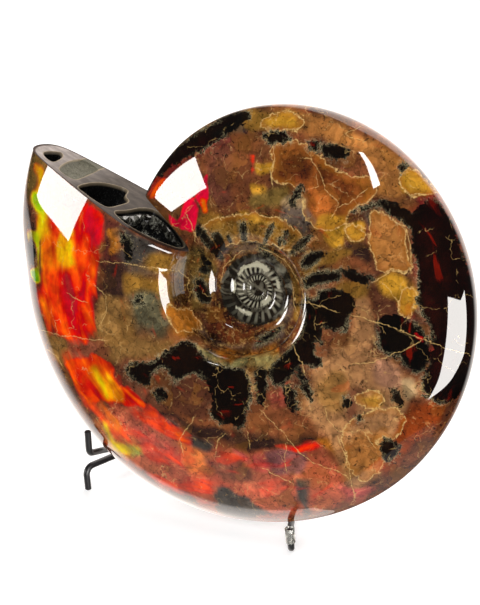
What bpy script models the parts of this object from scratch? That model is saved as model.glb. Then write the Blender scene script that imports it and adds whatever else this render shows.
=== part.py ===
"""Polished ammonite with a sawn aperture and a crystal-lined chamber, held by four bent wires.

World axes are in metres: +Z is up, the front flank faces -Y and the aperture is on the -X side.
Lengths named below are in millimetres and angles in degrees.
"""
import math

import bmesh
import bpy
import numpy as np
from mathutils import Vector

MM = 0.001

# Place of the shell. It leans back on its stand.
LEAN = 13.0
POLE_HEIGHT = 102.0
POLE_X = 8.6
POLE_Y = -23.8

# Coil. Age is the angle back from the aperture, in degrees.
WHORL = 360.0
APERTURE_ANGLE = 156.5
EXPANSION = 1.78
SEAM_RADIUS = 32.0
SEAM_DEPTH = 11.5
CENTRE_DEPTH = 2.5
HALF_THICKNESS = 29.5
INNER_WHORLS = 3

# Venter radius every twenty degrees of age.
VENTER_RADII = (118.6, 112.0, 109.0, 106.6, 104.9, 102.8, 101.0, 99.9, 99.0,
                97.4, 95.0, 91.7, 88.0, 84.4, 80.6, 76.5, 72.2, 68.1, 64.9)

# Whorl section, as shares of the whorl height from seam to venter.
SHOULDER = (SEAM_RADIUS - SEAM_RADIUS / EXPANSION) / (VENTER_RADII[-1] - SEAM_RADIUS / EXPANSION)
WALL_POWER = 2.2
WALL_ROUNDING = 0.55
FLANK_TAPER = 0.55
FLANK_POWER = 1.4
VENTER_POWER = 24.0

# Wedge between the sawn face and the whorl before it.
NOTCH_WIDTH = 8.0
NOTCH_POWER = 0.6
NOTCH_SPREAD = 30.0

# Mesh of the shell.
ROW_STEP = 6.0
WALL_COLUMNS = 4
FLANK_COLUMNS = 12
SHARP_ANGLE = 40.0
WELD_DISTANCE = 0.02

# Hollows in the sawn face: each is a smooth loop through (radius, place across the thickness).
SMALL_CHAMBER = ((112.4, 7.5), (112.6, 1.0), (110.6, -5.4), (107.6, -2.0), (105.6, 6.0), (105.4, 11.2), (108.8, 11.4))
FILLED_CHAMBER = ((101.6, 9.5), (103.6, -1.0), (103.8, -11.6), (100.0, -14.6), (94.4, -13.0),
                  (92.8, -3.0), (91.4, 7.6), (91.2, 14.6), (95.0, 16.4), (99.0, 15.0))
LARGE_CHAMBER = ((85.8, 20.4), (87.0, 11.0), (86.0, 0.0), (82.4, -8.4), (77.6, -12.0),
                 (74.4, -4.4), (70.4, 0.0), (69.4, 10.0), (69.8, 21.0), (75.0, 22.8), (81.0, 22.2))
LAST_CHAMBER = ((66.0, 20.4), (65.0, 10.0), (64.4, -2.0), (61.0, -10.0), (52.0, -8.0),
                (42.0, 0.0), (36.4, 7.0), (35.6, 14.6), (41.0, 20.4), (48.0, 24.2), (56.0, 25.8), (62.0, 24.4))
SMALL_CHAMBER_DEPTH = 12.0
FILLED_CHAMBER_DEPTH = 2.0
LARGE_CHAMBER_DEPTH = 16.0
LAST_CHAMBER_DEPTH = 12.0
CUTTER_REACH = 2.0
LOOP_STEPS = 3

# Crystals on the walls and floor of the last chamber. Rows are depths below the sawn face.
LINING_GAP = 0.35
LINING_ROWS = (2.4, 4.6, 6.8, 9.0)
LINING_RINGS = (0.66, 0.33)
CRYSTAL_LEAST = 0.7
CRYSTAL_MOST = 2.6
CRYSTAL_SHIFT = 0.6
CRYSTAL_SEED = 7

# Stand. Corners are measured from the point of the table below the pole of the coil.
WIRE_RADIUS = 1.45
WIRE_SIDES = 10
BEND_RADIUS = 3.6
BEND_STEPS = 5
LEFT_ARM = ((-68.2, -31.1, 36.0), (-67.9, -30.9, 25.2), (-67.9, -15.0, 19.6), (-60.0, 20.0, 8.0), (-17.3, 84.6, 4.6))
LEFT_LEG = ((-64.8, 12.0, 9.8), (-76.4, -18.8, 10.6), (-75.6, -18.8, 0.0))
RIGHT_ARM = ((28.5, -36.8, 11.6), (29.2, -36.4, 0.75), (22.8, -22.0, 3.5), (-10.9, 84.0, 4.6))
REAR_STRUT = ((-8.0, 24.5, 152.0), (-8.0, 23.8, 136.0), (-14.0, 84.0, 8.0), (-14.0, 85.0, 0.0))
SLEEVE_INNER_RADIUS = 1.8
SLEEVE_OUTER_RADIUS = 2.2
SLEEVE_TOP = 12.4
SLEEVE_BOTTOM = 5.6
SLEEVE_SIDES = 12


def unit_curve(values, position):
    """Smooth curve through evenly spaced values, at a position from 0 to 1."""
    values = np.asarray(values, float)
    slopes = np.gradient(values)
    place = np.clip(position, 0.0, 1.0) * (len(values) - 1)
    low = np.minimum(place.astype(int), len(values) - 2)
    t = place - low
    return (values[low] * (1 + 2 * t) * (1 - t) ** 2 + slopes[low] * t * (1 - t) ** 2
            + values[low + 1] * t * t * (3 - 2 * t) - slopes[low + 1] * t * t * (1 - t))


def venter_radius(age):
    """Distance from the pole to the outer edge of the last whorl."""
    return unit_curve(VENTER_RADII, age / WHORL)


def seam_radius(age):
    """Distance from the pole to the inner edge of a whorl."""
    return SEAM_RADIUS * EXPANSION ** (-age / WHORL)


def seam_depth(age):
    """How far the inner edge of a whorl lies in front of the mid-plane."""
    return CENTRE_DEPTH + (SEAM_DEPTH - CENTRE_DEPTH) * seam_radius(age) / SEAM_RADIUS


def shoulder(age):
    """Radius and half thickness where the whorl is thickest or goes under the next one."""
    outer = np.maximum(age - WHORL, 0.0)
    inner_radius = seam_radius(age)
    open_radius = inner_radius + (venter_radius(np.minimum(age, WHORL)) - inner_radius) * SHOULDER
    open_depth = HALF_THICKNESS * (SEAM_DEPTH / HALF_THICKNESS) ** (age / WHORL)
    covered = age >= WHORL
    radius = np.where(covered, seam_radius(outer), open_radius)
    depth = np.where(covered, seam_depth(outer), open_depth)
    return radius, depth


def wall_points(age, share):
    """Radius and depth on the umbilical wall; share runs from the seam to the shoulder."""
    top_radius, top_depth = shoulder(age)
    radius = seam_radius(age) + (top_radius - seam_radius(age)) * share
    rise = (1 - (1 - share) ** WALL_POWER) ** WALL_ROUNDING
    depth = seam_depth(age) + (top_depth - seam_depth(age)) * rise
    return radius, depth


def flank_points(age, share):
    """Radius and depth on the flank; share runs from the shoulder to the venter."""
    top_radius, top_depth = shoulder(age)
    edge = venter_radius(np.minimum(age, WHORL))
    radius = top_radius + (edge - top_radius) * share
    taper = 1 - FLANK_TAPER * share ** FLANK_POWER
    depth = top_depth * taper * np.sqrt(np.clip(1 - share ** VENTER_POWER, 0.0, 1.0))
    return radius, depth


def notch_turn(age, radius):
    """Angle by which the oldest open flank stands clear of the sawn face."""
    top_radius, _ = shoulder(age)
    reach = np.clip((radius - top_radius) / (VENTER_RADII[-1] - SEAM_RADIUS), 0.0, None)
    width = NOTCH_WIDTH * reach ** NOTCH_POWER
    turn = np.degrees(width / np.maximum(radius, SEAM_RADIUS))
    ramp = np.clip((age - WHORL + NOTCH_SPREAD) / NOTCH_SPREAD, 0.0, 1.0)
    return turn * ramp * (age <= WHORL)


def shell_to_world(across, up, front):
    """Turn coordinates in the plane of the coil into world metres."""
    lean = math.radians(LEAN)
    x = across + POLE_X
    y = up * math.sin(lean) - front * math.cos(lean) + POLE_Y
    z = up * math.cos(lean) + front * math.sin(lean) + POLE_HEIGHT
    return np.stack([x, y, z], axis=-1) * MM


def shell_point(age, radius, front):
    """World point at an age, a radius and a distance in front of the mid-plane."""
    angle = np.radians(APERTURE_ANGLE + age)
    return shell_to_world(radius * np.cos(angle), radius * np.sin(angle), front)


def smooth_shares(count, power):
    """Shares from 0 to 1 that crowd towards 0."""
    return np.linspace(0.0, 1.0, count + 1) ** power


def build_shell_grids():
    """Arrays of world points: the walls of every whorl and the flanks of the last one."""
    per_whorl = int(WHORL / ROW_STEP)
    wall_ages = np.arange(per_whorl * (INNER_WHORLS + 1) + 1)[:, None] * ROW_STEP
    wall_radius, wall_depth = wall_points(wall_ages, smooth_shares(WALL_COLUMNS, 1.7)[None, :])
    flank_ages = np.arange(per_whorl + 1)[:, None] * ROW_STEP
    flank_shares = 1 - smooth_shares(FLANK_COLUMNS, 2.0)[None, ::-1]
    flank_radius, flank_depth = flank_points(flank_ages, flank_shares)
    clear_ages = flank_ages - notch_turn(flank_ages, flank_radius)
    grids = []
    for side in (1.0, -1.0):
        wall = shell_point(wall_ages + 0 * wall_radius, wall_radius, side * wall_depth)
        flank = shell_point(clear_ages, flank_radius, side * flank_depth)
        grids.append((wall, flank))
    return grids, per_whorl


def add_grid(bm, points, flip):
    """Add a grid of quads to the mesh and return its corner vertices."""
    rows = [[bm.verts.new(Vector(p)) for p in row] for row in points]
    for low, high in zip(rows[:-1], rows[1:]):
        for j in range(len(low) - 1):
            corners = [low[j], low[j + 1], high[j + 1], high[j]]
            face = bm.faces.new(corners[::-1] if flip else corners)
            face.smooth = True
    return rows


def build_ammonite():
    """One closed solid: both sides of the coil, the sawn face and the face across the notch."""
    grids, per_whorl = build_shell_grids()
    bm = bmesh.new()
    section_loops = []
    clear_loops = []
    centre_loops = []
    for (wall, flank), flip in zip(grids, (False, True)):
        wall_rows = add_grid(bm, wall, flip)
        flank_rows = add_grid(bm, flank, flip)
        section_loops.append(wall_rows[0] + flank_rows[0][1:])
        clear_loops.append(flank_rows[-1])
        tail = wall_rows[-per_whorl - 1:]
        centre_loops.append([row[0] for row in tail] + tail[-1][1:-1])
    for loops in (section_loops, clear_loops):
        front, back = loops
        bm.faces.new(front + back[-2::-1])
    for loop in centre_loops:
        bm.faces.new(loop)
    bmesh.ops.remove_doubles(bm, verts=bm.verts, dist=WELD_DISTANCE * MM)
    bmesh.ops.triangulate(bm, faces=[f for f in bm.faces if len(f.verts) > 4], ngon_method='EAR_CLIP')
    bmesh.ops.recalc_face_normals(bm, faces=bm.faces)
    return finish_mesh("ammonite", bm, fossil_material())


def closed_loop(points, steps):
    """Smooth closed curve through the points, with a number of steps from each to the next."""
    points = np.asarray(points, float)
    before = np.roll(points, 1, axis=0)
    after = np.roll(points, -1, axis=0)
    beyond = np.roll(points, -2, axis=0)
    loop = []
    for step in range(steps):
        t = step / steps
        loop.append(points + 0.5 * t * ((after - before)
                    + t * (2 * before - 5 * points + 4 * after - beyond
                           + t * (3 * (points - after) + beyond - before))))
    return np.stack(loop, axis=1).reshape(-1, 2)


def inset_loop(loop, distance):
    """Move the points of a closed curve inwards, each by its own distance."""
    ahead = np.roll(loop, -1, axis=0) - np.roll(loop, 1, axis=0)
    inward = np.stack([-ahead[:, 1], ahead[:, 0]], axis=1)
    inward /= np.linalg.norm(inward, axis=1, keepdims=True)
    after = np.roll(loop, -1, axis=0)
    turning = np.sum(loop[:, 0] * after[:, 1] - after[:, 0] * loop[:, 1])
    return loop + inward * math.copysign(1.0, turning) * np.reshape(distance, (-1, 1))


def chamber_points(loop, reach, depth):
    """World points of a loop at a reach below the sawn face, on straight lines down to the floor."""
    mouth = shell_point(np.degrees(-CUTTER_REACH / loop[:, 0]), loop[:, 0], loop[:, 1])
    floor = shell_point(np.degrees(depth / loop[:, 0]), loop[:, 0], loop[:, 1])
    share = (reach + CUTTER_REACH) / (depth + CUTTER_REACH)
    return mouth + (floor - mouth) * np.reshape(share, (-1, 1))


def add_rings(bm, rings):
    """Add closed rings of points to the mesh and join each to the next; returns the vertices."""
    verts = [[bm.verts.new(Vector(p)) for p in ring] for ring in rings]
    for low, high in zip(verts[:-1], verts[1:]):
        count = len(low)
        for k in range(count):
            after = (k + 1) % count
            bm.faces.new((low[k], low[after], high[after], high[k]))
    return verts


def build_cutter(name, corners, depth):
    """Solid that sinks one chamber into the sawn face."""
    outline = closed_loop(corners, LOOP_STEPS)
    bm = bmesh.new()
    mouth, floor = add_rings(bm, [chamber_points(outline, reach, depth) for reach in (-CUTTER_REACH, depth)])
    bm.faces.new(mouth)
    bm.faces.new(floor[::-1])
    bmesh.ops.recalc_face_normals(bm, faces=bm.faces)
    cutter = finish_mesh(name, bm, fossil_material())
    cutter.hide_render = True
    cutter.display_type = 'WIRE'
    return cutter


def build_crystal_lining():
    """Crust of crystals in the last chamber, one closed solid with a rough inside."""
    random = np.random.default_rng(CRYSTAL_SEED)
    depth = LAST_CHAMBER_DEPTH
    floor = depth - LINING_GAP
    outline = closed_loop(LAST_CHAMBER, LOOP_STEPS)
    back = inset_loop(outline, np.full(len(outline), LINING_GAP))
    rings = [chamber_points(back, reach, depth) for reach in (floor, LINING_ROWS[0])]
    for reach in LINING_ROWS:
        height = random.uniform(CRYSTAL_LEAST, CRYSTAL_MOST, len(outline))
        shift = random.uniform(-CRYSTAL_SHIFT, CRYSTAL_SHIFT, len(outline))
        rings.append(chamber_points(inset_loop(back, height), reach + shift, depth))
    middle = back.mean(axis=0)
    for share in LINING_RINGS:
        height = random.uniform(CRYSTAL_LEAST, CRYSTAL_MOST, len(outline))
        rings.append(chamber_points(middle + (back - middle) * share, floor - height, depth))
    bm = bmesh.new()
    verts = add_rings(bm, rings)
    bm.faces.new(verts[0])
    bm.faces.new(verts[-1][::-1])
    bmesh.ops.triangulate(bm, faces=bm.faces, ngon_method='EAR_CLIP')
    bmesh.ops.recalc_face_normals(bm, faces=bm.faces)
    return finish_mesh("crystal_lining", bm, principled("dark_calcite_crystals", (0.1, 0.1, 0.08), 0.2, 0.0))


def sink_chambers(ammonite):
    """Cut the open and the half-filled chambers into the sawn face."""
    chambers = (("small_chamber_cutter", SMALL_CHAMBER, SMALL_CHAMBER_DEPTH),
                ("filled_chamber_cutter", FILLED_CHAMBER, FILLED_CHAMBER_DEPTH),
                ("large_chamber_cutter", LARGE_CHAMBER, LARGE_CHAMBER_DEPTH),
                ("last_chamber_cutter", LAST_CHAMBER, LAST_CHAMBER_DEPTH))
    for name, outline, depth in chambers:
        cutter = build_cutter(name, outline, depth)
        cut = ammonite.modifiers.new(name, 'BOOLEAN')
        cut.operation = 'DIFFERENCE'
        cut.solver = 'EXACT'
        cut.object = cutter


def rounded_path(corners, radius):
    """Centre line through the corners, each turned into an arc of the bend radius."""
    corners = [Vector(c) for c in corners]
    path = [corners[0]]
    for before, here, after in zip(corners[:-2], corners[1:-1], corners[2:]):
        to_before = (before - here).normalized()
        to_after = (after - here).normalized()
        half = to_before.angle(to_after) / 2
        start = here + to_before * (radius / math.tan(half))
        centre = here + (to_before + to_after).normalized() * (radius / math.sin(half))
        arm = start - centre
        axis = to_before.cross(to_after).normalized()
        sweep = math.pi - 2 * half
        for step in range(BEND_STEPS + 1):
            angle = sweep * step / BEND_STEPS
            path.append(centre + arm * math.cos(angle) - axis.cross(arm) * math.sin(angle))
    path.append(corners[-1])
    return path


def build_wire(name, corners, level_end):
    """Round wire along a bent path; a level end is cut flat to stand on the table."""
    path = rounded_path(corners, BEND_RADIUS)
    rings = []
    side = None
    for i, point in enumerate(path):
        ahead = path[min(i + 1, len(path) - 1)] - path[max(i - 1, 0)]
        if level_end and i == len(path) - 1:
            ahead = Vector((0.0, 0.0, -1.0))
        ahead.normalize()
        if side is None:
            side = ahead.orthogonal()
        side = (side - ahead * side.dot(ahead)).normalized()
        other = ahead.cross(side)
        ring = []
        for k in range(WIRE_SIDES):
            angle = 2 * math.pi * k / WIRE_SIDES
            offset = side * math.cos(angle) + other * math.sin(angle)
            ring.append((point + offset * WIRE_RADIUS) * MM)
        rings.append(ring)
    bm = bmesh.new()
    verts = add_rings(bm, rings)
    for face in bm.faces:
        face.smooth = True
    bm.faces.new(verts[0][::-1])
    bm.faces.new(verts[-1])
    bmesh.ops.recalc_face_normals(bm, faces=bm.faces)
    return finish_mesh(name, bm, principled(name + "_black_wire", (0.02, 0.02, 0.022), 0.4, 0.0))


def build_sleeve(name, corners):
    """Short clear tube over the upturned end of the right arm."""
    top = Vector(corners[0])
    along = (top - Vector(corners[1])).normalized()
    side = along.orthogonal().normalized()
    other = along.cross(side)
    rings = []
    for radius, height in ((SLEEVE_INNER_RADIUS, SLEEVE_BOTTOM), (SLEEVE_OUTER_RADIUS, SLEEVE_BOTTOM),
                           (SLEEVE_OUTER_RADIUS, SLEEVE_TOP), (SLEEVE_INNER_RADIUS, SLEEVE_TOP)):
        centre = top + along * ((height - top.z) / along.z)
        ring = []
        for k in range(SLEEVE_SIDES):
            angle = 2 * math.pi * k / SLEEVE_SIDES
            offset = side * math.cos(angle) + other * math.sin(angle)
            ring.append((centre + offset * radius) * MM)
        rings.append(ring)
    bm = bmesh.new()
    add_rings(bm, rings + rings[:1])
    bmesh.ops.remove_doubles(bm, verts=bm.verts, dist=WELD_DISTANCE * MM)
    for face in bm.faces:
        face.smooth = True
    bmesh.ops.recalc_face_normals(bm, faces=bm.faces)
    return finish_mesh(name, bm, principled("clear_vinyl", (0.6, 0.6, 0.6), 0.2, 0.0))


def principled(name, colour, roughness, metallic):
    """Plain surface with one colour."""
    material = bpy.data.materials.new(name)
    material.use_nodes = True
    shader = material.node_tree.nodes["Principled BSDF"]
    shader.inputs["Base Color"].default_value = (*colour, 1.0)
    shader.inputs["Roughness"].default_value = roughness
    shader.inputs["Metallic"].default_value = metallic
    return material


def fossil_material():
    """Polished brown calcite and shell."""
    found = bpy.data.materials.get("polished_fossil_shell")
    return found or principled("polished_fossil_shell", (0.24, 0.09, 0.03), 0.15, 0.0)


def finish_mesh(name, bm, material):
    """Turn the built geometry into a named object with one material."""
    mesh = bpy.data.meshes.new(name)
    bm.to_mesh(mesh)
    bm.free()
    mesh.materials.append(material)
    mesh.set_sharp_from_angle(angle=math.radians(SHARP_ANGLE))
    thing = bpy.data.objects.new(name, mesh)
    bpy.context.scene.collection.objects.link(thing)
    return thing


def stand_corners(corners):
    """Move wire corners from the foot of the pole to world place."""
    return [(x + POLE_X, y + POLE_Y, z) for x, y, z in corners]


def main():
    """Build the fossil and its stand."""
    for thing in list(bpy.data.objects):
        bpy.data.objects.remove(thing, do_unlink=True)
    ammonite = build_ammonite()
    sink_chambers(ammonite)
    build_crystal_lining()
    build_wire("left_arm", stand_corners(LEFT_ARM), False)
    build_wire("left_leg", stand_corners(LEFT_LEG), True)
    build_wire("right_arm", stand_corners(RIGHT_ARM), False)
    build_wire("rear_strut", stand_corners(REAR_STRUT), True)
    build_sleeve("clear_sleeve", stand_corners(RIGHT_ARM))


main()
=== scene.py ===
"""Polished ammonite with fiery shell colours on a bent wire stand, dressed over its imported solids.

The frame holds the pieces at their real size, in metres. Lengths named here are in millimetres and
angles in degrees. Markings under the polish are laid out in the camera's own frame, 480 by 605
pixels, where one pixel at the middle of the coil covers 0.42 mm.
"""

import logging
import math
from dataclasses import dataclass, field
from enum import Enum
from functools import partial
from typing import Callable

import bmesh
import bpy
import numpy as np
from mathutils import Matrix, Quaternion, Vector
from mathutils.geometry import delaunay_2d_cdt


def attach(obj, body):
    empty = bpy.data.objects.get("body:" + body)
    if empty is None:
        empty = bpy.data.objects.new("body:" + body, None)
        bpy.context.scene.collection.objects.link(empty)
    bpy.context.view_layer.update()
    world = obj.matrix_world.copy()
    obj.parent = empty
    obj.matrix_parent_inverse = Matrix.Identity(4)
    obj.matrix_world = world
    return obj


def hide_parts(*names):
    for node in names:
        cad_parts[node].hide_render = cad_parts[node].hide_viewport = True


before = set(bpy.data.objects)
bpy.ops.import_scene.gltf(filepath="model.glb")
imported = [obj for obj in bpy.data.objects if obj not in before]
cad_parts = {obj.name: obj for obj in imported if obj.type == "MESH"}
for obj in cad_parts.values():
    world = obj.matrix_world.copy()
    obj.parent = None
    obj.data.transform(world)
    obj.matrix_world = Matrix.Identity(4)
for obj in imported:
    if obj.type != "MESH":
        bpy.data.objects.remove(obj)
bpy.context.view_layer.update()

MM = 0.001
WHORL = 360.0
# Further than anything on the sawn face lies from an outline, and how close vertices are merged
FAR = 200.0
WELD_GAP = 0.004
# Height of an equilateral triangle of side 1
TRIANGLE_HEIGHT = 0.866
LOG = logging.getLogger("ammonite")
Array = np.ndarray
Tree = bpy.types.NodeTree
Socket = bpy.types.NodeSocket
Adder = Callable[..., Socket]


def linear(hex_colour: str) -> tuple[float, float, float, float]:
    """Turn an sRGB hex colour into linear red, green, blue and full alpha, by the standard's own curve.

    Args:
        hex_colour: six hex digits after a number sign.

    Returns:
        Four numbers from 0 to 1.
    """
    levels = [int(hex_colour[i:i + 2], 16) / 255 for i in (1, 3, 5)]
    return (*[c / 12.92 if c <= 0.04045 else ((c + 0.055) / 1.055) ** 2.4 for c in levels], 1.0)


class Tint(Enum):
    """Colours seen under the polish, each named for its mineral or light; heather also paints a reflection.
    """

    UMBER = "#5a3220"
    CHESTNUT = "#7a4426"
    AMBER = "#a8641c"
    HONEY = "#c08a26"
    OCHRE = "#8f6626"
    OLIVE = "#6a5326"
    TAN = "#a8764a"
    SAND = "#b09066"
    ROSE = "#a8765c"
    CARAMEL = "#a86c34"
    RUSSET = "#8a4a1c"
    BURNT = "#5e2a12"
    BEIGE = "#8a6434"
    CLAY = "#80452e"
    TERRACOTTA = "#b4573a"
    TANGERINE = "#cc6a2a"
    LIME = "#88b048"
    RUST = "#a04a38"
    MAUVE = "#7c4a48"
    PINK = "#c4504c"
    SMOKE = "#6b5544"
    ASH = "#46403a"
    SLATE = "#4a4a44"
    MOSS = "#55503a"
    HEATHER = "#6a5a4e"
    PLUM = "#6a3a2a"
    BROWNRED = "#6a3026"
    MAROON = "#52261e"
    BARK = "#35201a"
    OXBLOOD = "#7a2420"
    GARNET = "#b03a2c"
    EMBER = "#8a3a14"
    RUBY = "#c8281c"
    CELADON = "#98925a"
    GOLD = "#d2ae6c"
    LACE = "#b8ac84"


def add(tree: Tree, kind: str, inputs: dict | tuple = (), out: int = 0,
        **settings: object) -> Socket | bpy.types.Node:
    """Add a node, set its properties and fill its inputs.

    Args:
        tree: the material's or world's nodes.
        kind: the node's type, without the words ShaderNode in front.
        inputs: a value or a socket to link for each input in turn, or for some by name or number.
        out: which output is given back.
        settings: properties of the node.

    Returns:
        One of the node's outputs, or the node itself if it has none.
    """
    node = tree.nodes.new("ShaderNode" + kind)
    for name, value in settings.items():
        setattr(node, name, value)
    for name, value in inputs.items() if isinstance(inputs, dict) else enumerate(inputs):
        if isinstance(value, Socket):
            tree.links.new(value, node.inputs[name])
        else:
            node.inputs[name].default_value = value
    return node.outputs[out] if node.outputs else node


def start_nodes(owner: bpy.types.Material | bpy.types.World) -> Adder:
    """Empty the nodes of a material or the world.

    Args:
        owner: what has the nodes.

    Returns:
        The function add() for these nodes.
    """
    owner.use_nodes = True
    owner.node_tree.nodes.clear()
    return partial(add, owner.node_tree)


def start_material(name: str) -> tuple[bpy.types.Material, Adder, Socket]:
    """Make a material that has only its object coordinates, in millimetres, for patterns to read.

    Args:
        name: what the real material is.

    Returns:
        The material, the function that adds a node to it, and the coordinates.
    """
    material = bpy.data.materials.new(name)
    node = start_nodes(material)
    place = node("TexCoord", out=3)
    return material, node, node("VectorMath", {0: place, "Scale": 1 / MM}, operation='SCALE')


def smoothstep(low: float, high: float, value: Array) -> Array:
    """Rise from 0 at low to 1 at high along 3t^2 - 2t^3."""
    t = np.clip((value - low) / (high - low), 0.0, 1.0)
    return t * t * (3 - 2 * t)


def waves(points: Array, size: float, seed: int, count: int = 9) -> Array:
    """Smooth random field of about -1 to 1.

    The sum of cosines along random directions, with wavelengths of 0.7 to 1.5 sizes, over the root of
    half their count.

    Args:
        points: places, one row each, in any number of dimensions.
        size: wavelength in the same unit as the points.
        seed: which field.
        count: how many cosines.

    Returns:
        One value for each point.
    """
    random = np.random.default_rng(seed)
    heading = random.normal(size=(count, points.shape[-1]))
    heading /= np.linalg.norm(heading, axis=1, keepdims=True)
    rate = 2 * math.pi / (size * random.uniform(0.7, 1.5, count))
    phase = random.uniform(0, 2 * math.pi, count)
    return np.cos(points @ (heading * rate[:, None]).T + phase).sum(-1) / math.sqrt(count / 2)


def closed_loop(corners: tuple, steps: int) -> Array:
    """Closed curve through the corners.

    Each span is the cubic that passes a corner along the line from the corner before to the one after.

    Args:
        corners: two coordinates of each point in turn.
        steps: points from each corner to the next.

    Returns:
        The curve's points, one row each.
    """
    p = np.asarray(corners, float).reshape(-1, 2)
    before, after, beyond = np.roll(p, 1, axis=0), np.roll(p, -1, axis=0), np.roll(p, -2, axis=0)
    t = (np.arange(steps) / steps)[None, :, None]
    p, before, after, beyond = (q[:, None, :] for q in (p, before, after, beyond))
    curve = p + 0.5 * t * ((after - before) + t * (2 * before - 5 * p + 4 * after - beyond
                           + t * (3 * (p - after) + beyond - before)))
    return curve.reshape(-1, 2)


def outline_distance(points: Array, outline: Array, reach: float = 40.0) -> Array:
    """Distance to a closed outline, positive inside.

    The least distance to any side, signed by how often a ray to the right crosses the sides.

    Args:
        points: places in the plane.
        outline: corners of the outline.
        reach: distances further outside than this are all given as minus this.

    Returns:
        One distance for each point.
    """
    result = np.full(len(points), -reach)
    near = np.all((points > outline.min(0) - reach) & (points < outline.max(0) + reach), axis=1)
    p = points[near][:, None, :]
    side = np.roll(outline, -1, axis=0) - outline
    along = np.clip(((p - outline) * side).sum(-1) / (side ** 2).sum(-1), 0.0, 1.0)
    gap = np.linalg.norm(p - outline - along[..., None] * side, axis=-1).min(1)
    ends = outline + side
    spans = (outline[:, 1] > p[..., 1]) != (ends[:, 1] > p[..., 1])
    steep = np.where(side[:, 1] == 0, 1.0, side[:, 1])
    crossing = outline[:, 0] + (p[..., 1] - outline[:, 1]) * side[:, 0] / steep
    inside = (spans & (p[..., 0] < crossing)).sum(1) % 2 == 1
    result[near] = np.clip(np.where(inside, gap, -gap), -reach, reach)
    return result


def line_distance(points: Array, line: Array, reach: float = 12.0) -> tuple[Array, Array]:
    """Distance to an open line, without and with the side that a point lies on.

    Args:
        points: places in the plane.
        line: corners of the line.
        reach: cap on both distances.

    Returns:
        Plain distances, and distances with a sign.
    """
    plain = np.full(len(points), reach)
    signed = np.full(len(points), reach)
    near = np.all((points > line.min(0) - reach) & (points < line.max(0) + reach), axis=1)
    p = points[near][:, None, :]
    side = line[1:] - line[:-1]
    along = np.clip(((p - line[:-1]) * side).sum(-1) / (side ** 2).sum(-1), 0.0, 1.0)
    gap = np.linalg.norm(p - line[:-1] - along[..., None] * side, axis=-1)
    which = gap.argmin(1)
    rows = np.arange(len(which))
    offset = (p - line[:-1])[rows, which]
    turn = side[which, 0] * offset[:, 1] - side[which, 1] * offset[:, 0]
    plain[near] = np.minimum(gap[rows, which], reach)
    signed[near] = plain[near] * np.where(turn < 0, -1.0, 1.0)
    return plain, signed


@dataclass(frozen=True)
class Patch:
    """A marking with one colour; its closed outline gives column and row of each corner in turn."""

    tint: Tint
    outline: tuple
    soft: float = 4.0
    share: float = 1.0


@dataclass(frozen=True)
class Flame:
    """A patch of shell that splits light; fire runs from 0 for deep red over yellow to 1 for green."""

    fire: float
    outline: tuple
    soft: float = 4.0
    share: float = 1.0


@dataclass(frozen=True)
class StudioCamera:
    """The camera of the picture: where it stands and how it maps millimetres to pixels."""

    azimuth: float = 23.0
    elevation: float = 22.5
    distance: float = 850.0
    pixel: float = 0.42
    pole_pixel: tuple = (261.23, 287.89)
    width: int = 480
    height: int = 605
    sensor: float = 36.0
    clip: tuple = (0.01, 20.0)

    def axes(self) -> Array:
        """Unit vectors to the right, up and back towards the camera.

        Returns:
            Three rows.
        """
        a, e = math.radians(self.azimuth), math.radians(self.elevation)
        back = np.array([math.sin(a) * math.cos(e), -math.cos(a) * math.cos(e), math.sin(e)])
        right = np.array([math.cos(a), math.sin(a), 0.0])
        return np.stack([right, np.cross(back, right), back])

    def project(self, points: Array, pole: Array) -> Array:
        """Picture pixels of world points: the pinhole law, with the pole of the coil at its own pixel.

        Args:
            points: world points in millimetres.
            pole: world place of the pole.

        Returns:
            Columns and rows in the picture.
        """
        across, up, back = ((points - pole) @ self.axes().T).T
        scale = self.distance / self.pixel / (self.distance - back)
        return np.stack([self.pole_pixel[0] + across * scale, self.pole_pixel[1] - up * scale], axis=-1)

    def build(self, pole: Array) -> None:
        """Make the camera, with the lens and shift that project() implies, and give it to the scene.

        Args:
            pole: world place of the pole.
        """
        lens = self.sensor * self.distance / self.pixel / self.width
        data = bpy.data.cameras.new("picture_camera")
        data.sensor_fit = 'HORIZONTAL'
        data.sensor_width = self.sensor
        data.lens = lens
        data.shift_x = (self.width / 2 - self.pole_pixel[0]) / self.width
        data.shift_y = (self.pole_pixel[1] - self.height / 2) / self.width
        data.clip_start, data.clip_end = self.clip
        camera = bpy.data.objects.new("picture_camera", data)
        right, up, back = (Vector(row) for row in self.axes())
        place = Matrix((right, up, back)).transposed().to_4x4()
        place.translation = (Vector(pole) + back * self.distance) * MM
        camera.matrix_world = place
        bpy.context.scene.collection.objects.link(camera)
        bpy.context.scene.camera = camera


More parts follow.
